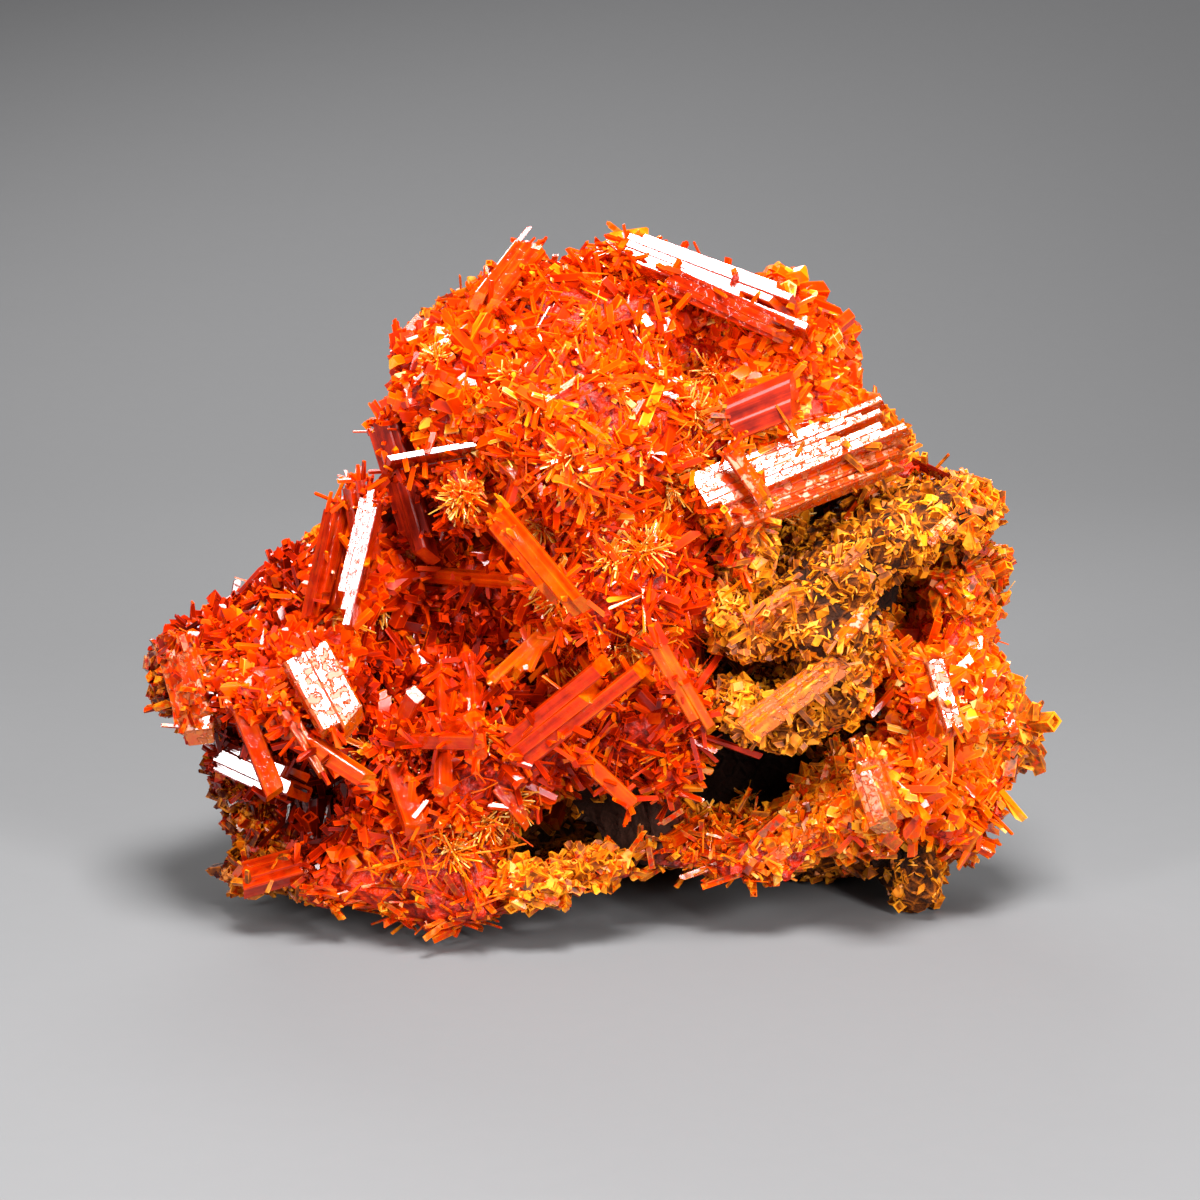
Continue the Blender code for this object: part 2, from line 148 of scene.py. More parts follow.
camera = bpy.data.objects.new("camera", bpy.data.cameras.new("camera"))
camera.data.lens = LENS
camera.data.clip_start = 0.01
camera.location = LOOK_AT + DISTANCE * Vector((0, -math.cos(ELEVATION), math.sin(ELEVATION)))
camera.rotation_euler = (math.pi / 2 - ELEVATION, 0, 0)
scene.collection.objects.link(camera)
bpy.context.scene.camera = camera
scene.view_settings.view_transform = "Standard"
scene.cycles.max_bounces = 7
scene.cycles.diffuse_bounces = 3
scene.cycles.glossy_bounces = 3
scene.cycles.transmission_bounces = 5
print(len(SOFTBOXES), "softboxes, and a", LENS, "mm lens", round(DISTANCE, 3), "m away")

# %% [markdown]
# ## Shader sums in Python
#
# A finish is easier to read as a sum than as a web of nodes. `Value` wraps a shader socket, so that
# `1 - mask * 0.3` adds its Math nodes by itself. Every other node comes from `Finish.node`, which
# takes the node's type, its settings, and the values or links of its sockets.


# %% The Value and Finish wrappers
class Value:
    """A shader socket that Python can do sums with."""

    def __init__(self, finish, socket):
        self.finish, self.socket = finish, socket

    def math(self, operation, first, second):
        return self.finish.node("ShaderNodeMath", {"operation": operation}, {0: first, 1: second})["Value"]

    def __add__(self, other):
        return self.math("ADD", self, other)

    def __sub__(self, other):
        return self.math("SUBTRACT", self, other)

    def __rsub__(self, other):
        return self.math("SUBTRACT", other, self)

    def __mul__(self, other):
        return self.math("MULTIPLY", self, other)

    def __pow__(self, other):
        return self.math("POWER", self, other)

    def size(self):
        """The value without its sign."""
        return self.math("ABSOLUTE", self, 0.0)

    def clamped(self):
        """The value kept between 0 and 1."""
        return self.finish.node("ShaderNodeClamp", {}, {"Value": self})["Result"]

    __radd__ = __add__
    __rmul__ = __mul__


class Finish:
    """One node material under construction."""

    def __init__(self, name):
        self.material = bpy.data.materials.new(name)
        self.material.use_nodes = True
        self.tree = self.material.node_tree
        self.shader = self.tree.nodes["Principled BSDF"]

    def plug(self, item, socket):
        """Links a Value to a socket, or sets the socket to a plain number or colour."""
        if isinstance(item, Value):
            self.tree.links.new(item.socket, socket)
        elif isinstance(item, tuple) and len(item) == 3 and len(socket.default_value) == 4:
            socket.default_value = (*item, 1.0)
        else:
            socket.default_value = item

    def node(self, kind, settings, sockets):
        """Adds a node and gives its outputs as Values, by name."""
        made = self.tree.nodes.new(kind)
        for key, setting in settings.items():
            if key == "stops":
                self.set_stops(made.color_ramp, setting)
            else:
                setattr(made, key, setting)
        for key, item in sockets.items():
            by_key = [s for s in made.inputs if key in (s.identifier, s.name)]
            self.plug(item, made.inputs[key] if isinstance(key, int) else by_key[0])
        outputs = {out.identifier: Value(self, out) for out in made.outputs}
        outputs.update({out.name: Value(self, out) for out in reversed(made.outputs)})
        return outputs

    def set_stops(self, ramp, stops):
        """Gives a colour ramp its stops: (position, colour) each."""
        while len(ramp.elements) < len(stops):
            ramp.elements.new(0.5)
        for element, (position, colour) in zip(ramp.elements, stops):
            element.position = position
            element.color = (*colour, 1.0)

    def place(self, scale=1.0):
        """The point on the piece, in metres times `scale`."""
        point = self.node("ShaderNodeTexCoord", {}, {})["Object"]
        if scale == 1.0:
            return point
        settings = {"operation": "SCALE"}
        return self.node("ShaderNodeVectorMath", settings, {"Vector": point, "Scale": scale})["Vector"]

    def noise(self, grain, detail=3.0, roughness=0.55, vector=None):
        """Noise from 0 to 1 whose lumps are `grain` millimetres wide."""
        sockets = {
            "Vector": vector or self.place(),
            "Scale": 1 / (grain * MM),
            "Detail": detail,
            "Roughness": roughness,
        }
        return self.node("ShaderNodeTexNoise", {}, sockets)["Fac"]

    def walls(self, width, thick):
        """Thin walls round cells `width` millimetres wide: 1 on a wall, 0 in a cell."""
        place = self.mix(0.12, self.place(1 / (width * MM)), self.noise(2.0 * width, detail=2))
        sockets = {"Vector": place, "Scale": 1.0}
        settings = {"feature": "DISTANCE_TO_EDGE"}
        edge = self.node("ShaderNodeTexVoronoi", settings, sockets)["Distance"]
        return self.span(edge, thick, 0.3 * thick)

    def attribute(self, name, output="Fac"):
        """A number, or a vector, that the mesh carries at each of its points."""
        return self.node("ShaderNodeAttribute", {"attribute_name": name}, {})[output]

    def span(self, value, low, high, start=0.0, end=1.0):
        """Moves low..high to start..end, and stops there."""
        sockets = {"Value": value, "From Min": low, "From Max": high, "To Min": start, "To Max": end}
        return self.node("ShaderNodeMapRange", {}, sockets)["Result"]

    def ramp(self, value, stops):
        """A colour read from a ramp."""
        return self.node("ShaderNodeValToRGB", {"stops": stops}, {"Fac": value})["Color"]

    def mix(self, factor, first, second):
        """Two colours mixed."""
        settings = {"data_type": "RGBA"}
        sockets = {"Factor_Float": factor, "A_Color": first, "B_Color": second}
        return self.node("ShaderNodeMix", settings, sockets)["Result_Color"]

    def bump(self, height, distance):
        """A normal that a height tilts; the distance is in millimetres."""
        sockets = {"Height": height, "Distance": distance * MM, "Strength": 1.0}
        return self.node("ShaderNodeBump", {}, sockets)["Normal"]

    def set(self, **sockets):
        """Sets or links the shader's own sockets, named with _ for a space."""
        for key, item in sockets.items():
            self.plug(item, self.shader.inputs[key.replace("_", " ")])
        return self.material


# %% [markdown]
# ## Crystal finishes
#
# Thin crocoite glows orange and thick crocoite is blood red, so one ramp runs from maroon through
# scarlet and orange to a pale yellow, and each finish only says where on that ramp a point lies.
# Part of the light goes through the shader and part of it is scattered back, because a heap of
# fully clear crystals swallows the light and turns black. The mineral's index of refraction is about
# 2.3, but a heap that mirrors so much looks frosted, so the index here is far lower.

# %% Finishes of the small crystals and of the rock
WARMTH = [
    (0.00, (0.060, 0.002, 0.000)),
    (0.18, (0.300, 0.007, 0.000)),
    (0.38, (0.780, 0.030, 0.000)),
    (0.58, (0.980, 0.090, 0.000)),
    (0.76, (1.000, 0.200, 0.002)),
    (0.90, (1.000, 0.400, 0.015)),
    (1.00, (1.000, 0.680, 0.220)),
]
OCHRE = [
    (0.25, (0.050, 0.010, 0.000)),
    (0.40, (0.300, 0.060, 0.001)),
    (0.54, (0.740, 0.170, 0.001)),
    (0.74, (0.960, 0.350, 0.008)),
]
# Painted shade: the near-black that the caves are darkened to.
CAVE_SHADE_COLOUR = (0.030, 0.007, 0.002)
INDEX = 1.38


def paper_finish():
    """Matt paper with the faintest grain."""
    finish = Finish("paper")
    grain = finish.noise(3.0)
    colour = finish.mix(grain, PAPER, tuple(0.97 * c for c in PAPER))
    return finish.set(Base_Color=colour, Roughness=0.85)


def crystal_finish():
    """Small crocoite crystals: redder at the root, and orange to yellow at the tip."""
    finish = Finish("small_crocoite")
    tone, rise, red, stain, across = map(finish.attribute, ("tone", "rise", "red", "stain", "across"))
    # Painted highlight: a pale line along the long edges of each face, stronger towards the tip.
    edge_highlight = finish.span(across.size(), 0.70, 0.96) * (0.4 + 0.6 * rise)
    cloud = finish.noise(2.5) - 0.5
    warmth_with_painted_light = 0.50 + 0.30 * (tone - 0.5) - 0.40 * red + 0.20 * edge_highlight + 0.06 * rise + 0.22 * cloud
    glassy = finish.ramp(warmth_with_painted_light.clamped(), WARMTH)
    crumb_and_highlight = 0.70 * finish.noise(1.1) + 0.26 * edge_highlight + 0.20 * tone - 0.02
    ochre = finish.ramp(crumb_and_highlight.clamped(), OCHRE)
    spots = finish.span(finish.noise(0.8, detail=4), 0.62, 0.42) * stain
    coat = finish.span(stain * 0.8 + spots, 0.45, 0.85)
    colour = finish.mix(coat, glassy, ochre)
    rough = 0.09 + 0.10 * finish.noise(1.6) + 0.30 * coat
    return finish.set(Base_Color=colour, Roughness=rough.clamped(), Transmission_Weight=0.18, IOR=INDEX)


def rock_finish():
    """Gossan: rusty ochre, its pits darkened towards black-brown and its caves nearly to black as painted
    shade.
    """
    finish = Finish("gossan_rock")
    patch = finish.noise(6.0, detail=5)
    grain = finish.noise(0.8, detail=6, roughness=0.7)
    cave, deep = map(finish.attribute, ("cave", "deep"))
    walls = finish.walls(1.5, thick=0.16)
    # Painted shade: the rust is darkened in deep pits and in the caves, which are then mixed towards
    # near-black.
    rust_and_shade = 0.45 * patch + 0.50 * grain + 0.16 * walls - 0.08 - 0.5 * cave - 0.35 * deep
    colour = finish.mix(0.85 * cave, finish.ramp(rust_and_shade.clamped(), OCHRE), CAVE_SHADE_COLOUR)
    normal = finish.bump(grain + 0.5 * walls, 1.6)
    return finish.set(Base_Color=colour, Roughness=0.8, Normal=normal, Specular_IOR_Level=0.25)


def bed_finish():
    """The ground that the crystals stand on, seen only between them; its pits are darkened and its caves
    made nearly black as painted shade.
    """
    finish = Finish("druse_bed")
    grain = finish.noise(0.9, detail=4)
    cave, deep = map(finish.attribute, ("cave", "deep"))
    # Painted shade: darker in deep pits, and mixed towards near-black in the caves.
    warmth_with_painted_light = finish.span(grain, 0.3, 0.7, 0.14, 0.55) - 0.15 * deep
    colour = finish.ramp(warmth_with_painted_light.clamped(), WARMTH)
    colour = finish.mix(finish.span(cave, 0.0, 0.7), colour, CAVE_SHADE_COLOUR)
    rough = (0.35 + 0.6 * cave).clamped()
    normal = finish.bump(finish.noise(0.5), 0.3)
    return finish.set(Base_Color=colour, Roughness=rough, Normal=normal, Specular_IOR_Level=0.3)


paper.data.materials.append(paper_finish())
GLASSY = crystal_finish()
BED = bed_finish()
ROCK = rock_finish()
print(len(bpy.data.materials), "finishes")

# %% [markdown]
# ## The beds
#
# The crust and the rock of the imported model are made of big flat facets. A copy of each is merged,
# remeshed into small even faces and pushed in and out by a procedural texture, which gives the
# crystals a rough ground to stand on. The copies stand for the nodes that they were made from.
# Small knobs carry growth where it stands out in front, and two plugs close slits in the rock.


# %% Rough beds over the two masses
WELD = 0.01 * MM
COARSER = 2.2  # how much coarser the first remesh is, which the smoothing then rounds off
SMOOTHINGS = 5


def edit_all():
    """Opens the active mesh with all of it selected."""
    bpy.ops.object.mode_set(mode="EDIT")
    bpy.ops.mesh.select_all(action="SELECT")


def apply_last(made):
    """Applies the modifier that was added last."""
    bpy.ops.object.modifier_apply(modifier=made.modifiers[-1].name)


def remesh(made, voxel):
    """Gives a closed mesh small even faces; the size is in millimetres."""
    bpy.ops.object.modifier_add(type="REMESH")
    made.modifiers[-1].mode = "VOXEL"
    made.modifiers[-1].voxel_size = voxel * MM
    apply_last(made)


def roughen(made, swells):
    """Pushes a mesh in and out: each swell is its grain and height in mm, and its still level."""
    for grain, height, level in swells:
        pattern = bpy.data.textures.new(f"{made.name}_{grain}", "VORONOI")
        pattern.noise_scale = grain * MM
        pattern.weight_1, pattern.weight_2 = -1, 1
        bpy.ops.object.modifier_add(type="DISPLACE")
        push = made.modifiers[-1]
        push.texture = pattern
        push.texture_coords = "LOCAL"
        push.strength = height * MM
        push.mid_level = level
        apply_last(made)


def bed(node, name, voxel, swells, material):
    """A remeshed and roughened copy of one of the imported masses."""
    made = bpy.data.objects.new(name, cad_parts[node].data.copy())
    scene.collection.objects.link(made)
    made.data.materials.clear()
    made.data.materials.append(material)
    select_only(made)
    edit_all()
    bpy.ops.mesh.remove_doubles(threshold=WELD)
    bpy.ops.object.mode_set(mode="OBJECT")
    remesh(made, COARSER * voxel)
    bpy.ops.object.modifier_add(type="SMOOTH")
    made.modifiers[-1].iterations = SMOOTHINGS
    apply_last(made)
    remesh(made, voxel)
    roughen(made, swells)
    for vertex in made.data.vertices:
        vertex.co.z = max(vertex.co.z, 0)
    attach(made, "root")
    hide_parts(node)
    return made


crust_bed = bed("crystal_crust", "crust_bed", 0.75, [(6.0, 2.8, 0.58), (2.4, 1.1, 0.5)], BED)
rock_bed = bed("gossan_matrix", "rock_bed", 0.68, [(5.0, -2.6, 0.20), (2.0, -1.2, 0.25)], ROCK)


def knob(name, centre, radii, material):
    """A small swelling of the crust or of the rock: a stretched and roughened ball."""
    bpy.ops.mesh.primitive_ico_sphere_add(subdivisions=4, radius=1.0, location=(0, 0, 0))
    made = bpy.context.object
    made.name = name
    edit_all()
    bpy.ops.transform.resize(value=[radius * MM for radius in radii], center_override=(0, 0, 0))
    bpy.ops.transform.translate(value=[place * MM for place in centre])
    bpy.ops.object.mode_set(mode="OBJECT")
    made.data.materials.append(material)
    roughen(made, KNOB_SWELLS)
    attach(made, "root")
    "gossan" if material == ROCK else "crust_crystals"
    return made


KNOB_SWELLS = [(3.0, 1.0, 0.5)]
KNOBS = {
    # centre and radii (mm), and finish
    "waist_knob": ((7.2, -16.0, 20.0), (3.6, 3.2, 4.6), BED),
    "cleft_knob": ((15.6, -15.0, 41.0), (2.8, 3.0, 4.6), BED),
    "cleft_foot_knob": ((13.6, -16.0, 34.6), (2.6, 2.6, 3.6), BED),
    "ledge_knob": ((14.6, -17.0, 25.4), (2.6, 3.0, 3.0), BED),
    "saddle_plug": ((20.0, 1.5, 43.0), (5.2, 4.2, 6.6), ROCK),
    "spray_knob": ((-14.4, -11.5, 47.0), (2.9, 3.6, 4.6), BED),
    "hollow_knob": ((-20.2, -6.5, 25.5), (3.2, 4.0, 3.8), BED),
    "window_plug": ((31.0, 3.0, 34.0), (5.0, 4.0, 5.0), ROCK),
    "rim_left": ((-7.0, -20.6, 7.0), (4.2, 2.2, 2.2), BED),
    "rim_right": ((-0.6, -18.8, 8.4), (4.6, 2.0, 1.9), BED),
}
knobs = [knob(name, *settings) for name, settings in KNOBS.items()]
print("beds of", len(crust_bed.data.polygons), "and", len(rock_bed.data.polygons), "faces")

# %% [markdown]
# ## Moulds for the small crystals
#
# There are too many small crystals to model one by one, so they are cast from seven moulds, each a
# prism of unit width standing on the origin with its end near z = 1. A cast stretches only the
# shaft: the root stays at the root and the end keeps its shape at the tip, whatever the length.
# Each mould also knows how far across its face every corner lies, for the pale line that light
# draws along the edges of a clear crystal, which the finish paints in as a highlight.


# %% Seven moulds
CUTS = {
    # mould: its depth as a share of its width; the height, lean and heading (degrees) of the planes
    # that cut its end; and how far that end is then inset, and raised or sunk
    "slanted": (0.78, [(0.8, 42, 10)], None),
    "chisel": (0.78, [(0.92, 40, 80), (0.92, 30, 260)], None),
    "needle": (0.78, [(0.9, 55, 45)], None),
    "stepped": (0.78, [(0.8, 24, 60)], (0.14, 0.35)),
    "hollow": (0.90, [(0.85, 15, 120)], (0.12, -0.3)),
    "tablet": (0.42, [(0.75, 35, 0), (0.95, 50, 175)], None),
    "plate": (0.15, [(0.82, 28, 0), (0.95, 20, 180)], None),
}
FACES_UP = 0.4  # the least upward slope of a face that closes an end
SHAFT = 0.4  # the height above which a point belongs to the end


def slice_end(height, lean, heading):
    """Cuts the end off by a plane that leans by `lean` degrees towards `heading` degrees."""
    lean, heading = math.radians(lean), math.radians(heading)
    aside = math.sin(lean)
    normal = (aside * math.cos(heading), aside * math.sin(heading), math.cos(lean))
    bpy.ops.mesh.select_all(action="SELECT")
    bpy.ops.mesh.bisect(plane_co=(0, 0, height), plane_no=normal, use_fill=True, clear_outer=True)


def select_end(made):
    """Selects the faces that close the end."""
    bpy.ops.object.mode_set(mode="OBJECT")
    for vertex in made.data.vertices:
        vertex.select = False
    for edge in made.data.edges:
        edge.select = False
    for face in made.data.polygons:
        face.select = face.normal.z > FACES_UP
    bpy.ops.object.mode_set(mode="EDIT")
    bpy.ops.mesh.select_mode(type="FACE")


def across_face(face, points):
    """Where a face's corners lie across it, from -1 to 1; on an end they all count as edges."""
    if abs(face.normal.z) > FACES_UP:
        return np.ones(len(face.vertices))
    reach = points[list(face.vertices)] @ np.cross((0, 0, 1), face.normal)
    middle = (reach.max() + reach.min()) / 2
    return (reach - middle) / (reach.max() - middle)


def in_order(made):
    """Puts a mesh's points and faces in an order that is the same each time the script runs."""
    points = [tuple(vertex.co) for vertex in made.data.vertices]
    order = sorted(range(len(points)), key=lambda index: [round(c, 7) for c in points[index]])
    rank = {old: new for new, old in enumerate(order)}
    faces = []
    for face in made.data.polygons:
        ring = [rank[index] for index in face.vertices]
        first = ring.index(min(ring))
        faces.append(ring[first:] + ring[:first])
    made.data = bpy.data.meshes.new(made.name)
    made.data.from_pydata([points[index] for index in order], [], sorted(faces))


def prism(name, squash, cuts, step):
    """A four-sided prism of unit width with a cut end, which may be stepped or hollow."""
    bpy.ops.mesh.primitive_cylinder_add(vertices=4, radius=0.5, depth=1.0, location=(0, 0, 0.5))
    made = bpy.context.object
    made.name = name
    bpy.ops.object.transform_apply(location=True)
    edit_all()
    bpy.ops.transform.resize(value=(1, squash, 1), center_override=(0, 0, 0))
    for cut in cuts:
        slice_end(*cut)
    if step:
        inset, rise = step
        select_end(made)
        bpy.ops.mesh.inset(thickness=inset, depth=0.0)
        bpy.ops.mesh.extrude_region_move(TRANSFORM_OT_translate={"value": (0, 0, rise)})
    bpy.ops.object.mode_set(mode="OBJECT")
    in_order(made)
    return made


def take_mould(made):
    """Reads a prism into arrays and removes its object."""
    mesh = made.data
    points = np.array([v.co for v in mesh.vertices])
    loops = np.array([v for face in mesh.polygons for v in face.vertices])
    sizes = np.array([len(face.vertices) for face in mesh.polygons])
    across = np.concatenate([across_face(face, points) for face in mesh.polygons])
    bpy.data.objects.remove(made)
    along = (points[:, 2] > SHAFT).astype(float)
    ends = points.copy()
    ends[:, 2] -= along
    return {"ends": ends, "along": along, "loops": loops, "sizes": sizes, "across": across}


SHAPES = list(CUTS)
MOULDS = [take_mould(prism(name, *settings)) for name, settings in CUTS.items()]
print("moulds with", [len(mould["sizes"]) for mould in MOULDS], "faces")

# %% [markdown]
# ## Where the crystals grow, and which kind
#
# The specimen is not the same all over. The front of the dome is a jackstraw heap of needles, the
# left slope carries stouter prisms, the right lobe blocky ones, and the ridge between them is
# boxwork, thin ochre plates that meet at all angles. Each patch below is a place, a reach, a habit,
# how red its crystals are and how stained. A spot takes its habit from the patch that is nearest for
# its reach. In the caves the rock is bare, and its colour is darkened nearly to black as painted shade.

# %% Habits, patches and caves
HABITS = {
    # length (mm), width (mm), how it rears up, share of each mould, how much straw lies on it
    "needles": ((1.1, 4.0), (0.26, 0.80), (0.0, 0.60), (0.32, 0.20, 0.22, 0.06, 0.12, 0.08, 0.00), 1.0),
    "prisms": ((1.4, 4.6), (0.50, 1.25), (0.0, 0.45), (0.40, 0.22, 0.08, 0.10, 0.12, 0.08, 0.00), 0.3),
    "blocks": ((0.8, 2.6), (0.70, 1.80), (0.0, 0.70), (0.30, 0.22, 0.02, 0.14, 0.20, 0.12, 0.00), 0.05),
    "boxwork": ((1.0, 2.1), (1.10, 2.60), (0.8, 1.00), (0.04, 0.03, 0.02, 0.02, 0.05, 0.14, 0.70), 0.1),
    "druse": ((0.5, 1.4), (0.50, 1.20), (0.0, 0.85), (0.40, 0.28, 0.05, 0.10, 0.10, 0.07, 0.00), 0.0),
}
PATCHES = [
    # centre (mm), reach (mm), habit, red, stain
    ((0, -25, 50), 15, "needles", -0.02, 0.0),
    ((0, -10, 68), 11, "needles", 0.25, 0.15),
    ((-15, -14, 60), 9, "blocks", 0.22, 0.0),
    ((-20, -12, 54), 6, "blocks", 0.20, 0.1),
    ((20, -8, 64), 9, "blocks", 0.05, 0.25),
    ((25, -8, 57), 8, "blocks", 0.10, 0.3),
    ((14, -17, 59), 6, "needles", 0.10, 0.55),
    ((-19, -10, 46), 6, "prisms", 1.10, 0.0),
    ((-15, -13, 46), 5, "needles", -0.30, 0.0),
    ((3, -22, 40), 12, "needles", 0.30, 0.0),
    ((-27, -13, 40), 9, "blocks", 0.16, 0.15),
    ((-37, -5, 34), 8, "prisms", 0.85, 0.1),
    ((-32, -19, 30), 7, "blocks", 0.40, 0.2),
    ((-46, -11, 27), 7, "blocks", 0.85, 0.4),
    ((-33, -15, 18), 8, "prisms", 1.20, 0.0),
    ((-39, -11, 13), 6, "blocks", 1.25, 0.4),
    ((-20, -21, 19), 7, "prisms", 0.60, 0.05),
    ((-14, -10, 31), 9, "prisms", 0.75, 0.0),
    ((-12, -26, 20), 8, "needles", 0.45, 0.0),
    ((-17, -24, 8), 9, "needles", 0.12, 0.4),
    ((-38, -17, 6), 5, "blocks", 0.10, 0.8),
    ((3, -26, 28), 8, "prisms", 0.55, 0.0),
    ((2, -20, 18), 7, "needles", 0.45, 0.2),
    ((-3, -20, 7), 7, "blocks", 0.10, 0.60),
    ((0, -12, 4), 8, "boxwork", 0.10, 0.9),
    ((27, -12, 42), 11, "boxwork", 0.05, 1.0),
    ((17, -16, 34), 7, "boxwork", 0.10, 1.0),
    ((20, -22, 26), 6, "boxwork", 0.05, 1.0),
    ((30, -11, 53), 6, "boxwork", 0.20, 0.7),
    ((41, -9, 38), 8, "blocks", 0.00, 0.5),
    ((36, -12, 27), 9, "blocks", -0.10, 0.3),
    ((46, -10, 21), 5, "blocks", 0.00, 0.6),
    ((38, -16, 14), 7, "prisms", -0.15, 0.3),
    ((22, -22, 13), 9, "blocks", -0.25, 0.45),
    ((8, -17, 8), 8, "needles", 0.30, 0.45),
    ((33, -11, 5), 4, "boxwork", 0.60, 1.0),
    ((-25, 8, 40), 12, "druse", 0.50, 0.4),
    ((0, 12, 62), 14, "druse", 0.45, 0.4),
    ((30, 10, 45), 12, "druse", 0.50, 0.6),
    ((0, 26, 30), 30, "druse", 0.55, 0.8),
]
# Caves: hollows where no crystals grow and whose beds are painted nearly black as shade.
CAVES = [
    # centre (mm), reach (mm)
    ((2, -12, 12), 7.5),
    ((16, 4, 12), 8.5),
    ((17, -14, 18), 4.5),
    ((20, -13, 32), 2.6),
    ((30, -3, 35), 3.4),
    ((-19, -9, 45), 3.0),
    ((-34, -12, 20), 3.6),
    ((-30, -14, 8), 3.2),
    ((31, -8, 8), 3.6),
    ((-3, -21, 60), 1.8),
    ((-10.5, -10, 67), 1.5),
    ((17, -15, 59), 2.5),
]
LENGTHS, WIDTHS, STANDS, SHARES, STRAWS = (np.array(column) for column in zip(*HABITS.values()))
centres, reaches, habits, PATCH_RED, PATCH_STAIN = (np.array(column) for column in zip(*PATCHES))
PATCH_PLACES, PATCH_REACH = centres * MM, reaches * MM
PATCH_HABIT = np.array([list(HABITS).index(habit) for habit in habits])
CAVE_PLACES, CAVE_REACH = (np.array(column) * MM for column in zip(*CAVES))
RAGGED = 0.35  # how raggedly one patch gives way to the next
FADE = 2.2  # how fast a patch's redness and stain fade away from it


def read_patches(points, rng):
    """For each point: the index of its habit, how red it is and how stained."""
    apart = np.linalg.norm(points[:, None] - PATCH_PLACES, axis=2) / PATCH_REACH
    nearest = np.argmin(apart + RAGGED * rng.random(apart.shape), axis=1)
    share = np.exp(-FADE * apart**2) + 1e-9
    share /= share.sum(axis=1, keepdims=True)
    return PATCH_HABIT[nearest], share @ PATCH_RED, share @ PATCH_STAIN


def cave_at(points):
    """How far inside one of the caves each point is, from 0 to 1: there crystals are left out and the beds
    are darkened as painted shade.
    """
    apart = np.linalg.norm(points[:, None] - CAVE_PLACES, axis=2) / CAVE_REACH
    return np.exp(-(apart.min(axis=1) ** 4))


print(len(PATCHES), "patches of", len(HABITS), "habits and", len(CAVES), "caves")

# %% [markdown]
# ## Sowing
#
# Spots are spread over the beds by area. A spot that the bed itself or a large crystal covers is
# dropped: a short ray along its normal tells. From each spot grows a sheaf of a few crystals that
# all point nearly the same way. A crystal that would leave the specimen's own box is dropped, and
# most of those that would run into a large crystal are too.


# %% Spots, and crystals cast on them
def triangles_of(thing):
    """An object's corners, three points to a triangle."""
    mesh = thing.data
    points = np.zeros(len(mesh.vertices) * 3)
    mesh.vertices.foreach_get("co", points)
    mesh.calc_loop_triangles()
    corners = np.zeros(len(mesh.loop_triangles) * 3, dtype=int)
    mesh.loop_triangles.foreach_get("vertices", corners)
    return points.reshape(-1, 3)[corners].reshape(-1, 3, 3)


def tree_of(things):
    """One search tree over the triangles of several objects."""
    corners = np.concatenate([triangles_of(thing) for thing in things]).reshape(-1, 3)
    faces = np.arange(len(corners)).reshape(-1, 3)
    return BVHTree.FromPolygons(corners.tolist(), faces.tolist())


MASSES = ["crystal_crust", "gossan_matrix"]
LARGE = [node for name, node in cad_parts.items() if name not in MASSES]
BEDS = tree_of([crust_bed, rock_bed, *knobs])
LARGE_TREE = tree_of(LARGE)
PACKED = tree_of([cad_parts[name] for name in MASSES])
CLEAR_ABOVE = 1.2 * MM
ROCK_ROOM = 0.35 * MM
CLEAR_UNDER_LARGE = 0.4 * MM
RAY_START = 0.02 * MM  # above the surface that a ray leaves
LOWEST_ROOT = 1.1 * MM
POKES_THROUGH = 0.12  # share of the crystals that may touch a large one
ROOT_DEPTH = 0.5 * MM
BACK_FROM = 3 * MM
TALLEST = 2.3 * MM  # above the bed
FARTHEST_TIP = 2.6 * MM  # from the bed
FLOOR_ROOM = 0.7 * MM
BOX_ROOM = 0.9 * MM
# Painted shade: a crystal rooted deeper below the imported surface is made redder and darker, and a bed
# point is darkened by its depth, most at DEEPEST.
DEEPER_IS_REDDER_AS_SHADE = 0.22  # per mm
USUAL_DEPTH, DEEPEST = 0.4, 1.4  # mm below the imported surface; a pit is darkest at the second
HANGING, HANGS_ABOVE = -0.45, 12 * MM  # near the floor no crystal points steeply down


def carry(mesh, key, values, kind="FLOAT", domain="POINT"):
    """Lets a mesh carry a number or a vector at each of its points or corners."""
    mark = mesh.attributes.new(key, kind, domain)
    mark.data.foreach_set("vector" if kind == "FLOAT_VECTOR" else "value", values)


def distances(tree, places):
    """How far each place lies from the surface that a search tree holds."""
    return np.array([tree.find_nearest(place)[3] for place in places.tolist()])


# Painted shade: each point of a bed carries how far inside the caves it lies and how deep it lies below the
# imported surface, and the finishes darken it by both.
for made in (crust_bed, rock_bed, *knobs):
    points = np.array([v.co for v in made.data.vertices])
    carry(made.data, "cave", cave_at(points))
    carry(made.data, "deep", np.clip(distances(PACKED, points) / MM / DEEPEST, 0, 1))


def unit(vectors):
    """Vectors of length one."""
    return vectors / np.linalg.norm(vectors, axis=-1, keepdims=True)


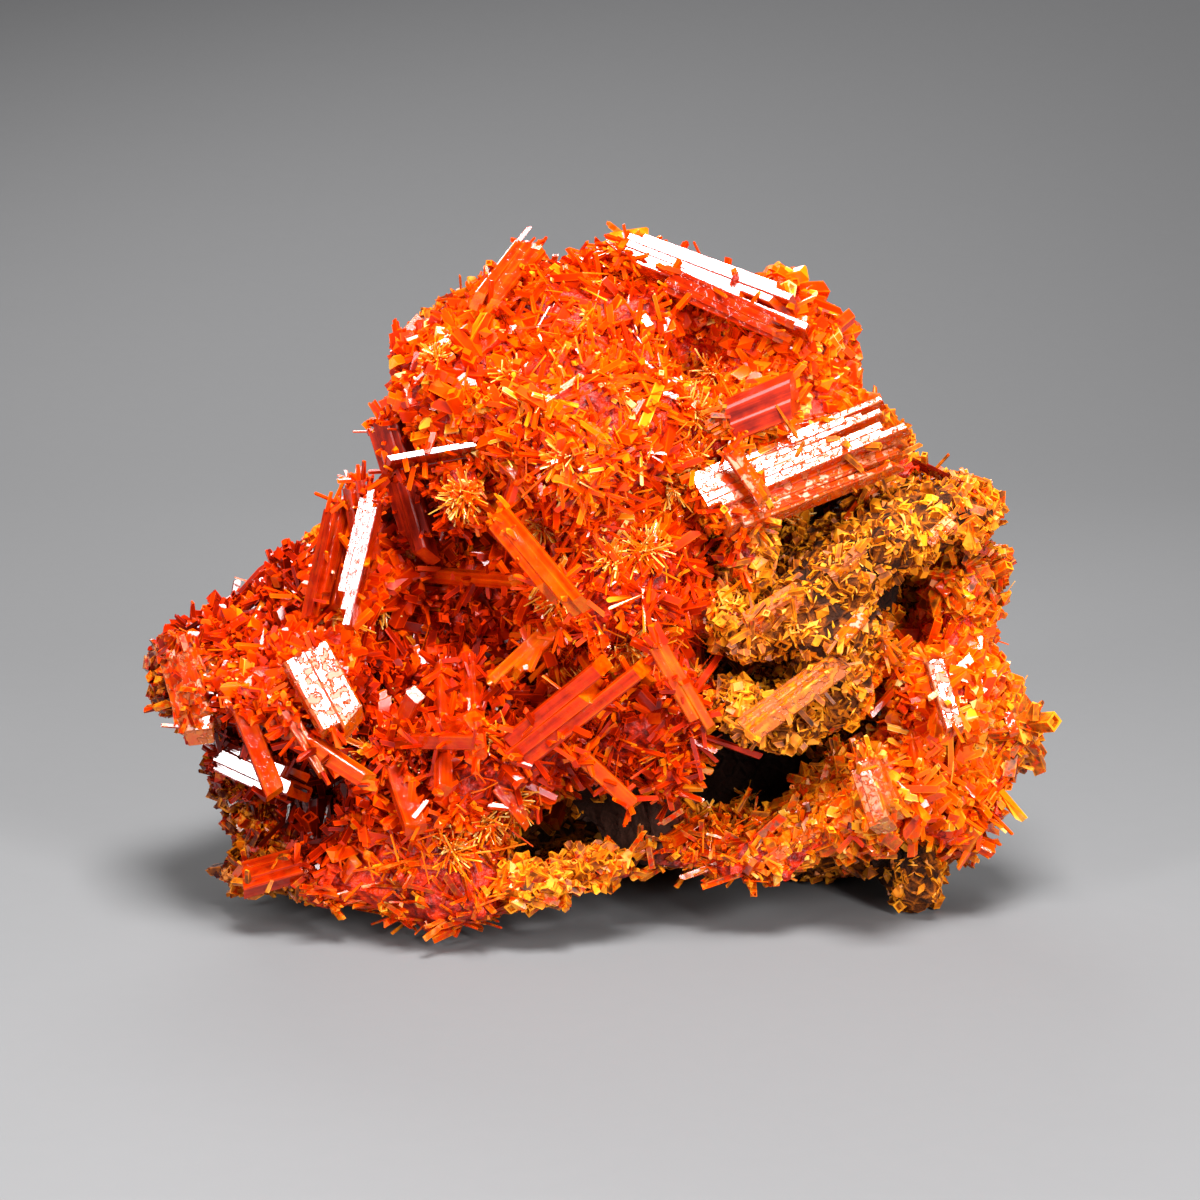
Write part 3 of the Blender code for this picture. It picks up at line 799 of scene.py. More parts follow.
def spots(ground, count, rng, room=CLEAR_ABOVE, front=1.0):
    """Open spots on a bed, `front` times thicker in front, each with the way its surface looks."""
    corners = triangles_of(ground)
    across = np.cross(corners[:, 1] - corners[:, 0], corners[:, 2] - corners[:, 0])
    weights = np.linalg.norm(across, axis=1) * np.where(corners[:, 0, 1] < BACK_FROM, front, 1)
    chosen = rng.choice(len(corners), count, p=weights / weights.sum())
    u, v = rng.random((2, count, 1))
    u, v = np.where(u + v > 1, 1 - u, u), np.where(u + v > 1, 1 - v, v)
    a, b, c = corners[chosen].transpose(1, 0, 2)
    places = a + u * (b - a) + v * (c - a)
    normals = unit(across[chosen])
    is_open = [
        BEDS.ray_cast(place + RAY_START * normal, normal, room)[0] is None
        and LARGE_TREE.ray_cast(place + RAY_START * normal, normal, CLEAR_UNDER_LARGE)[0] is None
        for place, normal in zip(places, normals)
    ]
    keep = np.array(is_open) & (places[:, 2] > LOWEST_ROOT) & (cave_at(places) < rng.random(count))
    return places[keep], normals[keep]


def turned_along(axes, rng):
    """A frame for each crystal: its own z along its axis, turned at random about it."""
    side = unit(np.cross(axes, rng.normal(size=axes.shape)))
    return np.stack([side, np.cross(axes, side), axes], axis=2)


def free_of_others(places, axes, lengths, rng):
    """Whether each crystal stays in the box and, but for a few, out of the large crystals."""
    tips = places + axes * lengths[:, None]
    low, high = np.array(cad_low) - BOX_ROOM, np.array(cad_high) + BOX_ROOM
    low[2] = FLOOR_ROOM
    inside = np.all((tips > low) & (tips < high), axis=1)
    inside &= (axes[:, 2] > HANGING) | (places[:, 2] > HANGS_ABOVE)
    inside &= distances(BEDS, tips) < FARTHEST_TIP
    for index in np.flatnonzero(inside & (rng.random(len(tips)) > POKES_THROUGH)):
        start, way = Vector(places[index]), Vector(axes[index])
        inside[index] = LARGE_TREE.ray_cast(start, way, lengths[index])[0] is None
    return inside


def cast(name, crop):
    """One joined mesh of crystals: each a mould, stretched, turned and put in its place."""
    points, loops, sizes, across = [], [], [], []
    carried = {key: [] for key in (*MARKS, "rise")}
    start = 0
    for index, mould in enumerate(MOULDS):
        mine = np.flatnonzero(crop["moulds"] == index)
        many, corners = len(mine), len(mould["ends"])
        shape = np.repeat(mould["ends"][None], many, axis=0) * crop["widths"][mine, None, None]
        shape[:, :, 2] += mould["along"] * crop["lengths"][mine, None]
        shape = crop["places"][mine, None] + np.einsum("nij,nvj->nvi", crop["frames"][mine], shape)
        shift = start + corners * np.arange(many)[:, None]
        points.append(shape.reshape(-1, 3))
        loops.append((mould["loops"] + shift).ravel())
        sizes.append(np.tile(mould["sizes"], many))
        across.append(np.tile(mould["across"], many))
        carried["rise"].append(np.tile(mould["along"], many))
        for key in MARKS:
            carried[key].append(np.repeat(crop[key][mine], corners))
        start += corners * many
    joined_mesh(name, points, loops, sizes, carried, across)


def joined_mesh(name, points, loops, sizes, carried, across):
    """Builds one piece of many shapes at once, with a number for each point and corner."""
    points, loops, sizes = (np.concatenate(part) for part in (points, loops, sizes))
    mesh = bpy.data.meshes.new(name)
    mesh.vertices.add(len(points))
    mesh.vertices.foreach_set("co", points.ravel())
    mesh.loops.add(len(loops))
    mesh.loops.foreach_set("vertex_index", loops)
    mesh.polygons.add(len(sizes))
    mesh.polygons.foreach_set("loop_start", np.concatenate([[0], np.cumsum(sizes)[:-1]]))
    mesh.update(calc_edges=True)
    mesh.shade_flat()
    for key, values in carried.items():
        carry(mesh, key, np.concatenate(values))
    carry(mesh, "across", np.concatenate(across), domain="CORNER")
    mesh.materials.append(GLASSY)
    made = bpy.data.objects.new(name, mesh)
    scene.collection.objects.link(made)
    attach(made, "root")
    print(f"{name}: {int((sizes - 2).sum())} triangles")


def picked(crop, keep):
    """The part of a crop that a mask keeps."""
    return {key: values[keep] for key, values in crop.items()}


def between(ranges, draw):
    """Picks from low..high ranges, millimetres in and metres out."""
    return (ranges[:, 0] + (ranges[:, 1] - ranges[:, 0]) * draw) * MM


MARKS = ("tone", "red", "stain")
WIDEST = 2.2 * MM  # a small crystal
WIDEST_SPREAD = 0.45 * MM  # of a sheaf's roots
SHEAF_TURN = 0.20  # how far the crystals of a sheaf turn from its way, as a slope
PALE_SHARE, PALER = 0.07, 1.2  # the share of frosted crystals, and how much paler they are
LEAST_REAR = 0.12  # every crystal rears up from its surface by at least this slope
SHYEST = 0.08  # the slope below which a crystal of a sheaf is lifted off the surface


def picked_mould(shares, rng):
    """Draws the index of a mould for each row of shares."""
    above = rng.random((len(shares), 1)) > np.cumsum(shares, axis=1)
    return above.sum(axis=1).clip(max=len(MOULDS) - 1)


def along_surface(normals, rear, rng):
    """Ways that run along the surface and rear up from it by some share."""
    wander = unit(rng.normal(size=normals.shape))
    flat = unit(wander - np.sum(wander * normals, axis=1, keepdims=True) * normals)
    return unit(flat * (1 - rear) + normals * (LEAST_REAR + rear))


def sow(ground, count, members, longer, wider, rng, room=CLEAR_ABOVE, front=1.0):
    """Draws sheaves of crystals on a bed: all of a sheaf point nearly one way.

    A draw raised to a power above 1 favours the low end of its range.
    """
    places, normals = spots(ground, count, rng, room, front)
    habit, red, stain = read_patches(places, rng)
    # Painted shade: a crystal rooted deeper below the imported surface is made redder and darker.
    red = red + DEEPER_IS_REDDER_AS_SHADE * (distances(PACKED, places) / MM - USUAL_DEPTH)
    lowest, highest = STANDS[habit, :1], STANDS[habit, 1:]
    rear = lowest + (highest - lowest) * rng.random((len(places), 1)) ** 1.3
    axes = along_surface(normals, rear, rng)
    tone = rng.random(len(places))
    sheaf = np.repeat(np.arange(len(places)), rng.integers(1, members + 1, len(places)))
    many = len(sheaf)
    axes = unit(axes[sheaf] + SHEAF_TURN * rng.normal(size=(many, 3)))
    normals, habit = normals[sheaf], habit[sheaf]
    facing = np.sum(axes * normals, axis=1)
    shy = np.where(facing < SHYEST, 0.2 - facing, 0)
    axes = unit(axes + shy[:, None] * normals)
    facing = np.sum(axes * normals, axis=1)
    lengths = between(LENGTHS[habit], rng.random(many) ** 1.5) * longer * (1.2 - 0.75 * facing)
    lengths = np.minimum(lengths, TALLEST / np.maximum(facing, 0.1))
    widths = np.minimum(between(WIDTHS[habit], rng.random(many) ** 1.4) * wider, WIDEST)
    spread = rng.normal(size=(many, 3)) * np.minimum(0.75 * widths, WIDEST_SPREAD)[:, None]
    spread -= np.sum(spread * normals, axis=1, keepdims=True) * normals
    places = places[sheaf] + spread - ROOT_DEPTH * (0.3 * normals + axes)
    crop = {
        "moulds": picked_mould(SHARES[habit], rng),
        "places": places,
        "axes": axes,
        "frames": turned_along(axes, rng),
        "lengths": lengths + ROOT_DEPTH,
        "widths": widths,
        "tone": 0.65 * tone[sheaf] + 0.35 * rng.random(many) + PALER * (rng.random(many) < PALE_SHARE),
        "red": red[sheaf],
        "stain": stain[sheaf],
    }
    return picked(crop, free_of_others(places, axes, crop["lengths"], rng))


def grown(moulds, places, axes, lengths, widths, tones, red, stain, rng, longest=1.0):
    """A crop whose lengths and widths (mm) and tones are each drawn from a range."""
    many = len(places)
    return {
        "moulds": moulds + np.zeros(many, dtype=int),
        "places": places,
        "axes": axes,
        "frames": turned_along(axes, rng),
        "lengths": longest * rng.uniform(*lengths, many) * MM,
        "widths": rng.uniform(*widths, many) * MM,
        "tone": rng.uniform(*tones, many),
        "red": red + np.zeros(many),
        "stain": stain + np.zeros(many),
    }


def together(crops):
    """Several crops as one."""
    return {key: np.concatenate([crop[key] for crop in crops]) for key in crops[0]}


REGIONS = ("left", "dome_left", "dome_right", "right", "back")
BORDERS = (-14, 0, 15)  # mm, between the four in front


def cast_by_region(name, crop):
    """Casts a crop as one piece for each part of the specimen, to keep the pieces handy."""
    x, y, _ = crop["places"].T / MM
    region = np.where(y > BACK_FROM / MM, len(BORDERS) + 1, np.searchsorted(BORDERS, x, side="right"))
    for index, word in enumerate(REGIONS):
        if np.any(region == index):
            cast(f"{name}_{word}", picked(crop, region == index))


rng = np.random.default_rng(SEED)
cast_by_region("undergrowth", sow(crust_bed, 6600, 4, 0.9, 1.15, rng))
cast_by_region("overgrowth", sow(crust_bed, 3400, 3, 1.35, 1.5, rng))
cast("stout_prisms", sow(crust_bed, 1800, 2, 1.35, 2.2, rng))
cast("long_prisms", sow(crust_bed, 1100, 2, 2.1, 0.85, rng, front=2.0))
cast_by_region("rock_growth", sow(rock_bed, 7000, 2, 0.9, 1.0, rng, ROCK_ROOM, front=3.0))
crops = [sow(made, 170, 3, 1.1, 1.3, rng) for made in knobs]
cast("knob_growth", together(crops))

# %% [markdown]
# ## Straws and sprays
#
# Over the heap lie the finest needles. Most are strewn singly across the tops of the other crystals,
# and some burst from one point like a dandelion. Fans of stouter crystals radiate low over the
# surface. Both are placed by where they are seen from the front: millimetres across and up from the
# middle of the view, on the plane through the specimen's centre.


# %% The finest needles
STRAWS_FROM = 7 * MM  # up from the floor
STRAW_LIFTS, STRAW_LENGTHS, STRAW_WIDTHS = (0.3, 1.0), (1.2, 4.2), (0.11, 0.28)  # mm
STRAW_TONES = (0.4, 1.5)


def strew(ground, count, rng):
    """Long thin needles that lie across the tops of the other crystals."""
    places, normals = spots(ground, count, rng)
    habit, red, stain = read_patches(places, rng)
    keep = (rng.random(len(places)) < STRAWS[habit]) & (places[:, 2] > STRAWS_FROM)
    places, normals, red, stain = places[keep], normals[keep], 0.7 * red[keep], 0.5 * stain[keep]
    many = (len(places), 1)
    axes = along_surface(normals, 0.5 * rng.random(many) ** 2, rng)
    places = places + rng.uniform(*STRAW_LIFTS, many) * MM * normals
    shape = SHAPES.index("needle")
    crop = grown(shape, places, axes, STRAW_LENGTHS, STRAW_WIDTHS, STRAW_TONES, red, stain, rng)
    return picked(crop, free_of_others(places, axes, crop["lengths"], rng))


LATERAL, UPRIGHT = Vector((1, 0, 0)), Vector((0, math.sin(ELEVATION), math.cos(ELEVATION)))
INWARDS = 0.015  # how far a line of sight that misses moves towards the middle, as a share


def seen_at(across, up, lift=0.0):
    """The point of the beds that is seen `across` and `up` (mm) from the middle of the view."""
    target = (across * LATERAL + up * UPRIGHT) * MM
    hit = None
    while hit is None:
        way = (LOOK_AT + target - camera.location).normalized()
        hit = BEDS.ray_cast(camera.location, way)[0]
        target *= 1 - INWARDS
    return hit - lift * MM * way


SPRAYS = [
    # across, up (mm), needles, longest (mm)
    (-14.7, 11.4, 145, 2.8), (-4.3, 0.5, 95, 3.0), (4.9, 5.4, 95, 3.2), (-1.2, -9.0, 80, 2.5),
    (-24.9, -16.8, 95, 2.8), (-20.6, -17.9, 65, 2.5), (-27.4, -1.9, 65, 2.1), (-23.8, -0.9, 65, 2.3),
    (-16.2, -27.1, 95, 3.0), (-12.5, -23.8, 80, 2.8), (9.8, 20.2, 80, 2.5), (-9.6, 24.3, 65, 2.3),
    (12.3, 24.6, 80, 2.5), (7.9, 12.6, 80, 2.8), (-3.5, 15.5, 65, 2.5), (-17.4, 26.0, 65, 2.1),
    (-22.1, -11.2, 50, 2.1), (10.5, 15.4, 65, 2.3), (1.2, 4.2, 65, 2.5), (-6.0, 8.2, 65, 2.3),
    (3.2, -4.9, 70, 2.4), (1.4, -5.8, 50, 2.2), (-10.9, -15.0, 50, 2.2),
    (20.7, 8.9, 65, 2.1), (27.4, 4.1, 50, 1.8), (-9.5, -21.5, 80, 2.5), (16.0, -21.7, 50, 1.8),
]
FANS = [
    # the same for the stouter crystals that radiate low over the surface
    (-24.9, -16.8, 18, 8.0), (-4.3, -4.3, 16, 7.0), (4.3, 1.1, 14, 6.5), (-10.8, -9.7, 14, 6.0),
    (9.7, -15.2, 12, 5.0), (-14.0, -26.0, 12, 5.0), (1.0, 16.0, 14, 6.0), (-6.5, 21.7, 12, 5.0),
    (10.8, 14.0, 12, 5.0), (-32.5, 0.0, 10, 5.0), (38.0, -10.8, 10, 4.0), (28.0, -25.0, 10, 4.0),
    (-17.3, -12.0, 12, 6.0), (3.0, -5.2, 10, 3.2), (-38.0, -3.0, 10, 5.0), (-1.5, -16.0, 12, 5.5),
    (15.0, 3.5, 10, 5.0),
]
SPRAY_ROOT = 0.45  # mm, how far the roots of a spray are apart
SPRAY_START = 0.4 * MM  # out from the middle of the spray
LEAST_OUT = 0.05  # the least slope at which a needle leaves the surface
SHARES_OF_LONGEST = (0.35, 1.0)
# mould, widths (mm), how low the crystals are pressed on the surface, tones
SPRAY_KIND = ("needle", (0.13, 0.27), 0.0, (0.8, 1.8))
FAN_KIND = ("slanted", (0.40, 0.95), 0.6, (-0.3, 0.9))


def burst(across, up, count, longest, shape, widths, low, tones, rng):
    """Crystals that burst from one point of the surface."""
    root = seen_at(across, up)
    normal = Vector(PACKED.find_nearest(root)[1]) + (camera.location - root).normalized()
    normal = np.array(normal.normalized())
    ways = unit(rng.normal(size=(3 * count, 3)))
    ways = ways[ways @ normal > LEAST_OUT][:count]
    ways = unit(ways - low * (ways @ normal)[:, None] * normal)
    roots = np.array(root) + rng.normal(size=ways.shape) * SPRAY_ROOT * MM + SPRAY_START * ways
    shape = SHAPES.index(shape)
    return grown(shape, roots, ways, SHARES_OF_LONGEST, widths, tones, 0.0, 0.0, rng, longest)


crops = [burst(*row, *SPRAY_KIND, rng) for row in SPRAYS]
cast("straws", together([strew(crust_bed, 3600, rng)] + crops))
fans = together([burst(*row, *FAN_KIND, rng) for row in FANS])
fans = picked(fans, free_of_others(fans["places"], fans["axes"], fans["lengths"], rng))
cast("fans", fans)

# %% [markdown]
# ## The large crystals
#
# A large crocoite prism is never one smooth bar. It grew as a bundle of laths side by side, each a
# little higher, thicker or longer than the next, so its broad face is grooved along its length and
# its end is a flight of steps. Each crystal here is a row of such laths, modelled as chamfered bars
# and fused into one closed solid. A crystal that flashes in the light is turned about its own axis
# until its broad face looks halfway between the camera and a softbox, which is what a collector
# does by hand.

# %% Laths, and crystals made of them
LATH_OVERLAP = (1.2, 1.7)  # of the pitch from one lath to the next
LATH_THICKNESS = (0.93, 1.0)
EDGE_THICKNESS = 0.84  # of the outermost laths
SHORTEST_LATH = 0.66
LATEST_START = 0.10  # of the length, how far up from the root a lath may begin
LATH_TILT = math.radians(0.7)
LATH_CUTS, LATH_HEADINGS = (18, 46), (60, 120)  # degrees
LATH_SHIFT = 0.05  # of the thickness
CHAMFER = 0.11  # of the thinner side


def lath(length, width, thickness, lean, heading):
    """One long bar along +Z with chamfered long edges and a slanted end."""
    bpy.ops.mesh.primitive_cube_add(size=1, location=(0, 0, 0.5))
    made = bpy.context.object
    bpy.ops.object.transform_apply(location=True)
    edit_all()
    bpy.ops.transform.resize(value=(width, thickness, length + width), center_override=(0, 0, 0))
    bpy.ops.mesh.select_all(action="DESELECT")
    bpy.ops.object.mode_set(mode="OBJECT")
    corners = made.data.vertices
    for edge in made.data.edges:
        first, second = (corners[index].co for index in edge.vertices)
        edge.select = abs(first.z - second.z) > length / 2
    bpy.ops.object.mode_set(mode="EDIT")
    bpy.ops.mesh.select_mode(type="EDGE")
    bpy.ops.mesh.bevel(offset=CHAMFER * min(width, thickness), segments=1, affect="EDGES")
    slice_end(length, lean, heading)
    bpy.ops.object.mode_set(mode="OBJECT")
    return made


def fuse(parts, name):
    """One closed solid of the parts, which overlap."""
    first, *others = parts
    first.name = name
    if not others:
        return first
    group = bpy.data.collections.new("laths")
    for part in others:
        group.objects.link(part)
    select_only(first)
    bpy.ops.object.modifier_add(type="BOOLEAN")
    union = first.modifiers[-1]
    union.operation = "UNION"
    union.operand_type = "COLLECTION"
    union.collection = group
    apply_last(first)
    for part in others:
        bpy.data.objects.remove(part)
    bpy.data.collections.remove(group)
    return first


def lath_crystal(name, length, width, thickness, count, rng):
    """A row of laths fused into one crystal that stands along +Z and faces +Y."""
    pitch = width / count
    laths = []
    for index in range(count):
        outer = index in (0, count - 1) and count > 2
        across = (index + 0.5) * pitch - width / 2
        broad = min(pitch * rng.uniform(*LATH_OVERLAP), 2 * (width / 2 - abs(across)) + pitch * 0.3)
        deep = thickness * (EDGE_THICKNESS if outer else rng.uniform(*LATH_THICKNESS))
        reach = length * (1 - (1 - SHORTEST_LATH) * rng.random() ** 2)
        made = lath(reach, broad, deep, rng.uniform(*LATH_CUTS), rng.uniform(*LATH_HEADINGS))
        start = LATEST_START * length * rng.random() if outer else 0
        aside = rng.uniform(-LATH_SHIFT, LATH_SHIFT) * thickness
        shift = Matrix.Translation((across, aside, start))
        tilt = Matrix.Rotation(rng.normal() * LATH_TILT, 4, "Y")
        tilt = tilt @ Matrix.Rotation(rng.normal() * LATH_TILT, 4, "X")
        made.data.transform(shift @ tilt)
        laths.append(made)
    made = fuse(laths, name)
    in_order(made)
    return made


def mark_points(made, marks):
    """Gives every point of a mesh the same marks."""
    for key, value in marks.items():
        carry(made.data, key, np.full(len(made.data.vertices), value))


def mark_grain(made, length):
    """Remembers where each point lies along and across its crystal, before it is placed."""
    points = np.array([v.co for v in made.data.vertices])
    across = [across_face(face, points / MM) for face in made.data.polygons]
    carry(made.data, "rise", np.clip(points[:, 2] / length, 0, 1))
    carry(made.data, "grain", points.ravel(), kind="FLOAT_VECTOR")
    carry(made.data, "across", np.concatenate(across), domain="CORNER")


def facing_matrix(root, along, facing):
    """Turns a crystal modelled along +Z and facing +Y, and moves it to its root."""
    broad = (facing - facing.dot(along) * along).normalized()
    turn = Matrix((broad.cross(along), broad, along)).transposed().to_4x4()
    return Matrix.Translation(root) @ turn


def flash_facing(place, box):
    """The way a face at a place looks when it mirrors a softbox into the camera."""
    to_camera = (camera.location - place).normalized()
    return to_camera + (Vector(SOFTBOXES[box][0]) - place).normalized()


def way_to_look(place, look):
    """The way a broad face looks, from a direction or from the name of the softbox it mirrors."""
    return flash_facing(place, look) if isinstance(look, str) else Vector(look)


def joined_piece(parts, name, material, marks):
    """Several crystals as one piece, each still its own closed shell."""
    select_only(parts[0])
    for part in parts[1:]:
        part.select_set(True)
    if len(parts) > 1:
        bpy.ops.object.join()
    made = parts[0]
    made.name = name
    made.data.materials.clear()
    made.data.materials.append(material)
    mark_points(made, marks)
    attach(made, "root")
    return made


def large_crystal(node, laths, red, stain, finish, members, rng):
    """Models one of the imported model's large crystals again, with its laths."""
    marks = {"tone": rng.random(), "red": red, "stain": stain}
    parts = []
    for root, tip, width, thickness, look in members:
        root, tip = Vector(root) * MM, Vector(tip) * MM
        along, length = (tip - root).normalized(), (tip - root).length
        count = max(1, round(laths * width / members[0][2]))
        made = lath_crystal(node + "_laths", length, width * MM, thickness * MM, count, rng)
        mark_grain(made, length)
        made.data.transform(facing_matrix(root, along, way_to_look((root + tip) / 2, look)))
        parts.append(made)
    made = joined_piece(parts, node + "_laths", finish, marks)
    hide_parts(node)
    return made


def lath_finish(name, through, index, pitted=0.0, matt=0.0):
    """A large crystal: clear and glossy, deep in colour, with pale edges painted as a highlight, and
    streaks along it.
    """
    finish = Finish(name)
    tone, rise, red, stain, across = map(finish.attribute, ("tone", "rise", "red", "stain", "across"))
    sockets = {"Vector": finish.attribute("grain", "Vector"), "Vector_001": DRAWN_OUT}
    stretched = finish.node("ShaderNodeVectorMath", {"operation": "MULTIPLY"}, sockets)["Vector"]
    strand = finish.span(finish.noise(0.7, detail=4, roughness=0.6, vector=stretched), 0.32, 0.68)
    cloud = finish.noise(1.6, detail=4)
    edge = across.size()
    # Painted highlight: the faces are made paler towards their long edges.
    edge_highlight = 0.14 * finish.span(edge, 0.80, 0.97) + 0.10 * edge
    warmth_with_painted_light = 0.55 + 0.20 * (tone - 0.5) - 0.40 * red + 0.05 * rise**3 + edge_highlight
    warmth_with_painted_light = warmth_with_painted_light + 0.22 * (strand - 0.5) + 0.40 * (cloud - 0.5)
    ochre = finish.ramp((0.7 * finish.noise(0.9) + 0.3 * strand).clamped(), OCHRE)
    pits = finish.span(finish.noise(0.9, detail=4), 0.50, 0.44) * pitted
    coat = finish.span(stain + (finish.noise(1.3, detail=4) - 0.5), 0.42, 0.62)
    glassy = finish.mix(DEPTH, finish.ramp(warmth_with_painted_light.clamped(), WARMTH), NIGHT)
    colour = finish.mix(coat, glassy, ochre)
    colour = finish.mix(pits, colour, PIT_RUST)
    rough = (0.03 + matt + 0.06 * finish.noise(1.4) + 0.3 * coat + 0.35 * pits).clamped()
    normal = finish.bump(0.12 * strand - pits, 0.15)
    look = {"Base_Color": colour, "Roughness": rough, "Normal": normal}
    return finish.set(**look, Transmission_Weight=through, IOR=index)


DRAWN_OUT = (1.0, 1.0, 0.05)  # noise that changes slowly along a crystal makes streaks
DEPTH = 0.24  # how much more light a thick crystal swallows
NIGHT = (0.02, 0.0, 0.0)
PIT_RUST = (0.60, 0.10, 0.001)
CLEAR = lath_finish("clear_crocoite", through=0.30, index=INDEX, pitted=0.10)
BRIGHT = lath_finish("bright_crocoite", through=0.30, index=1.80, pitted=0.10)
ETCHED = lath_finish("etched_crocoite", through=0.15, index=1.80, pitted=1.0)
DARK = lath_finish("dark_crocoite", through=0.30, index=1.70)
DULL = lath_finish("dull_crocoite", through=0.30, index=INDEX, matt=0.35)

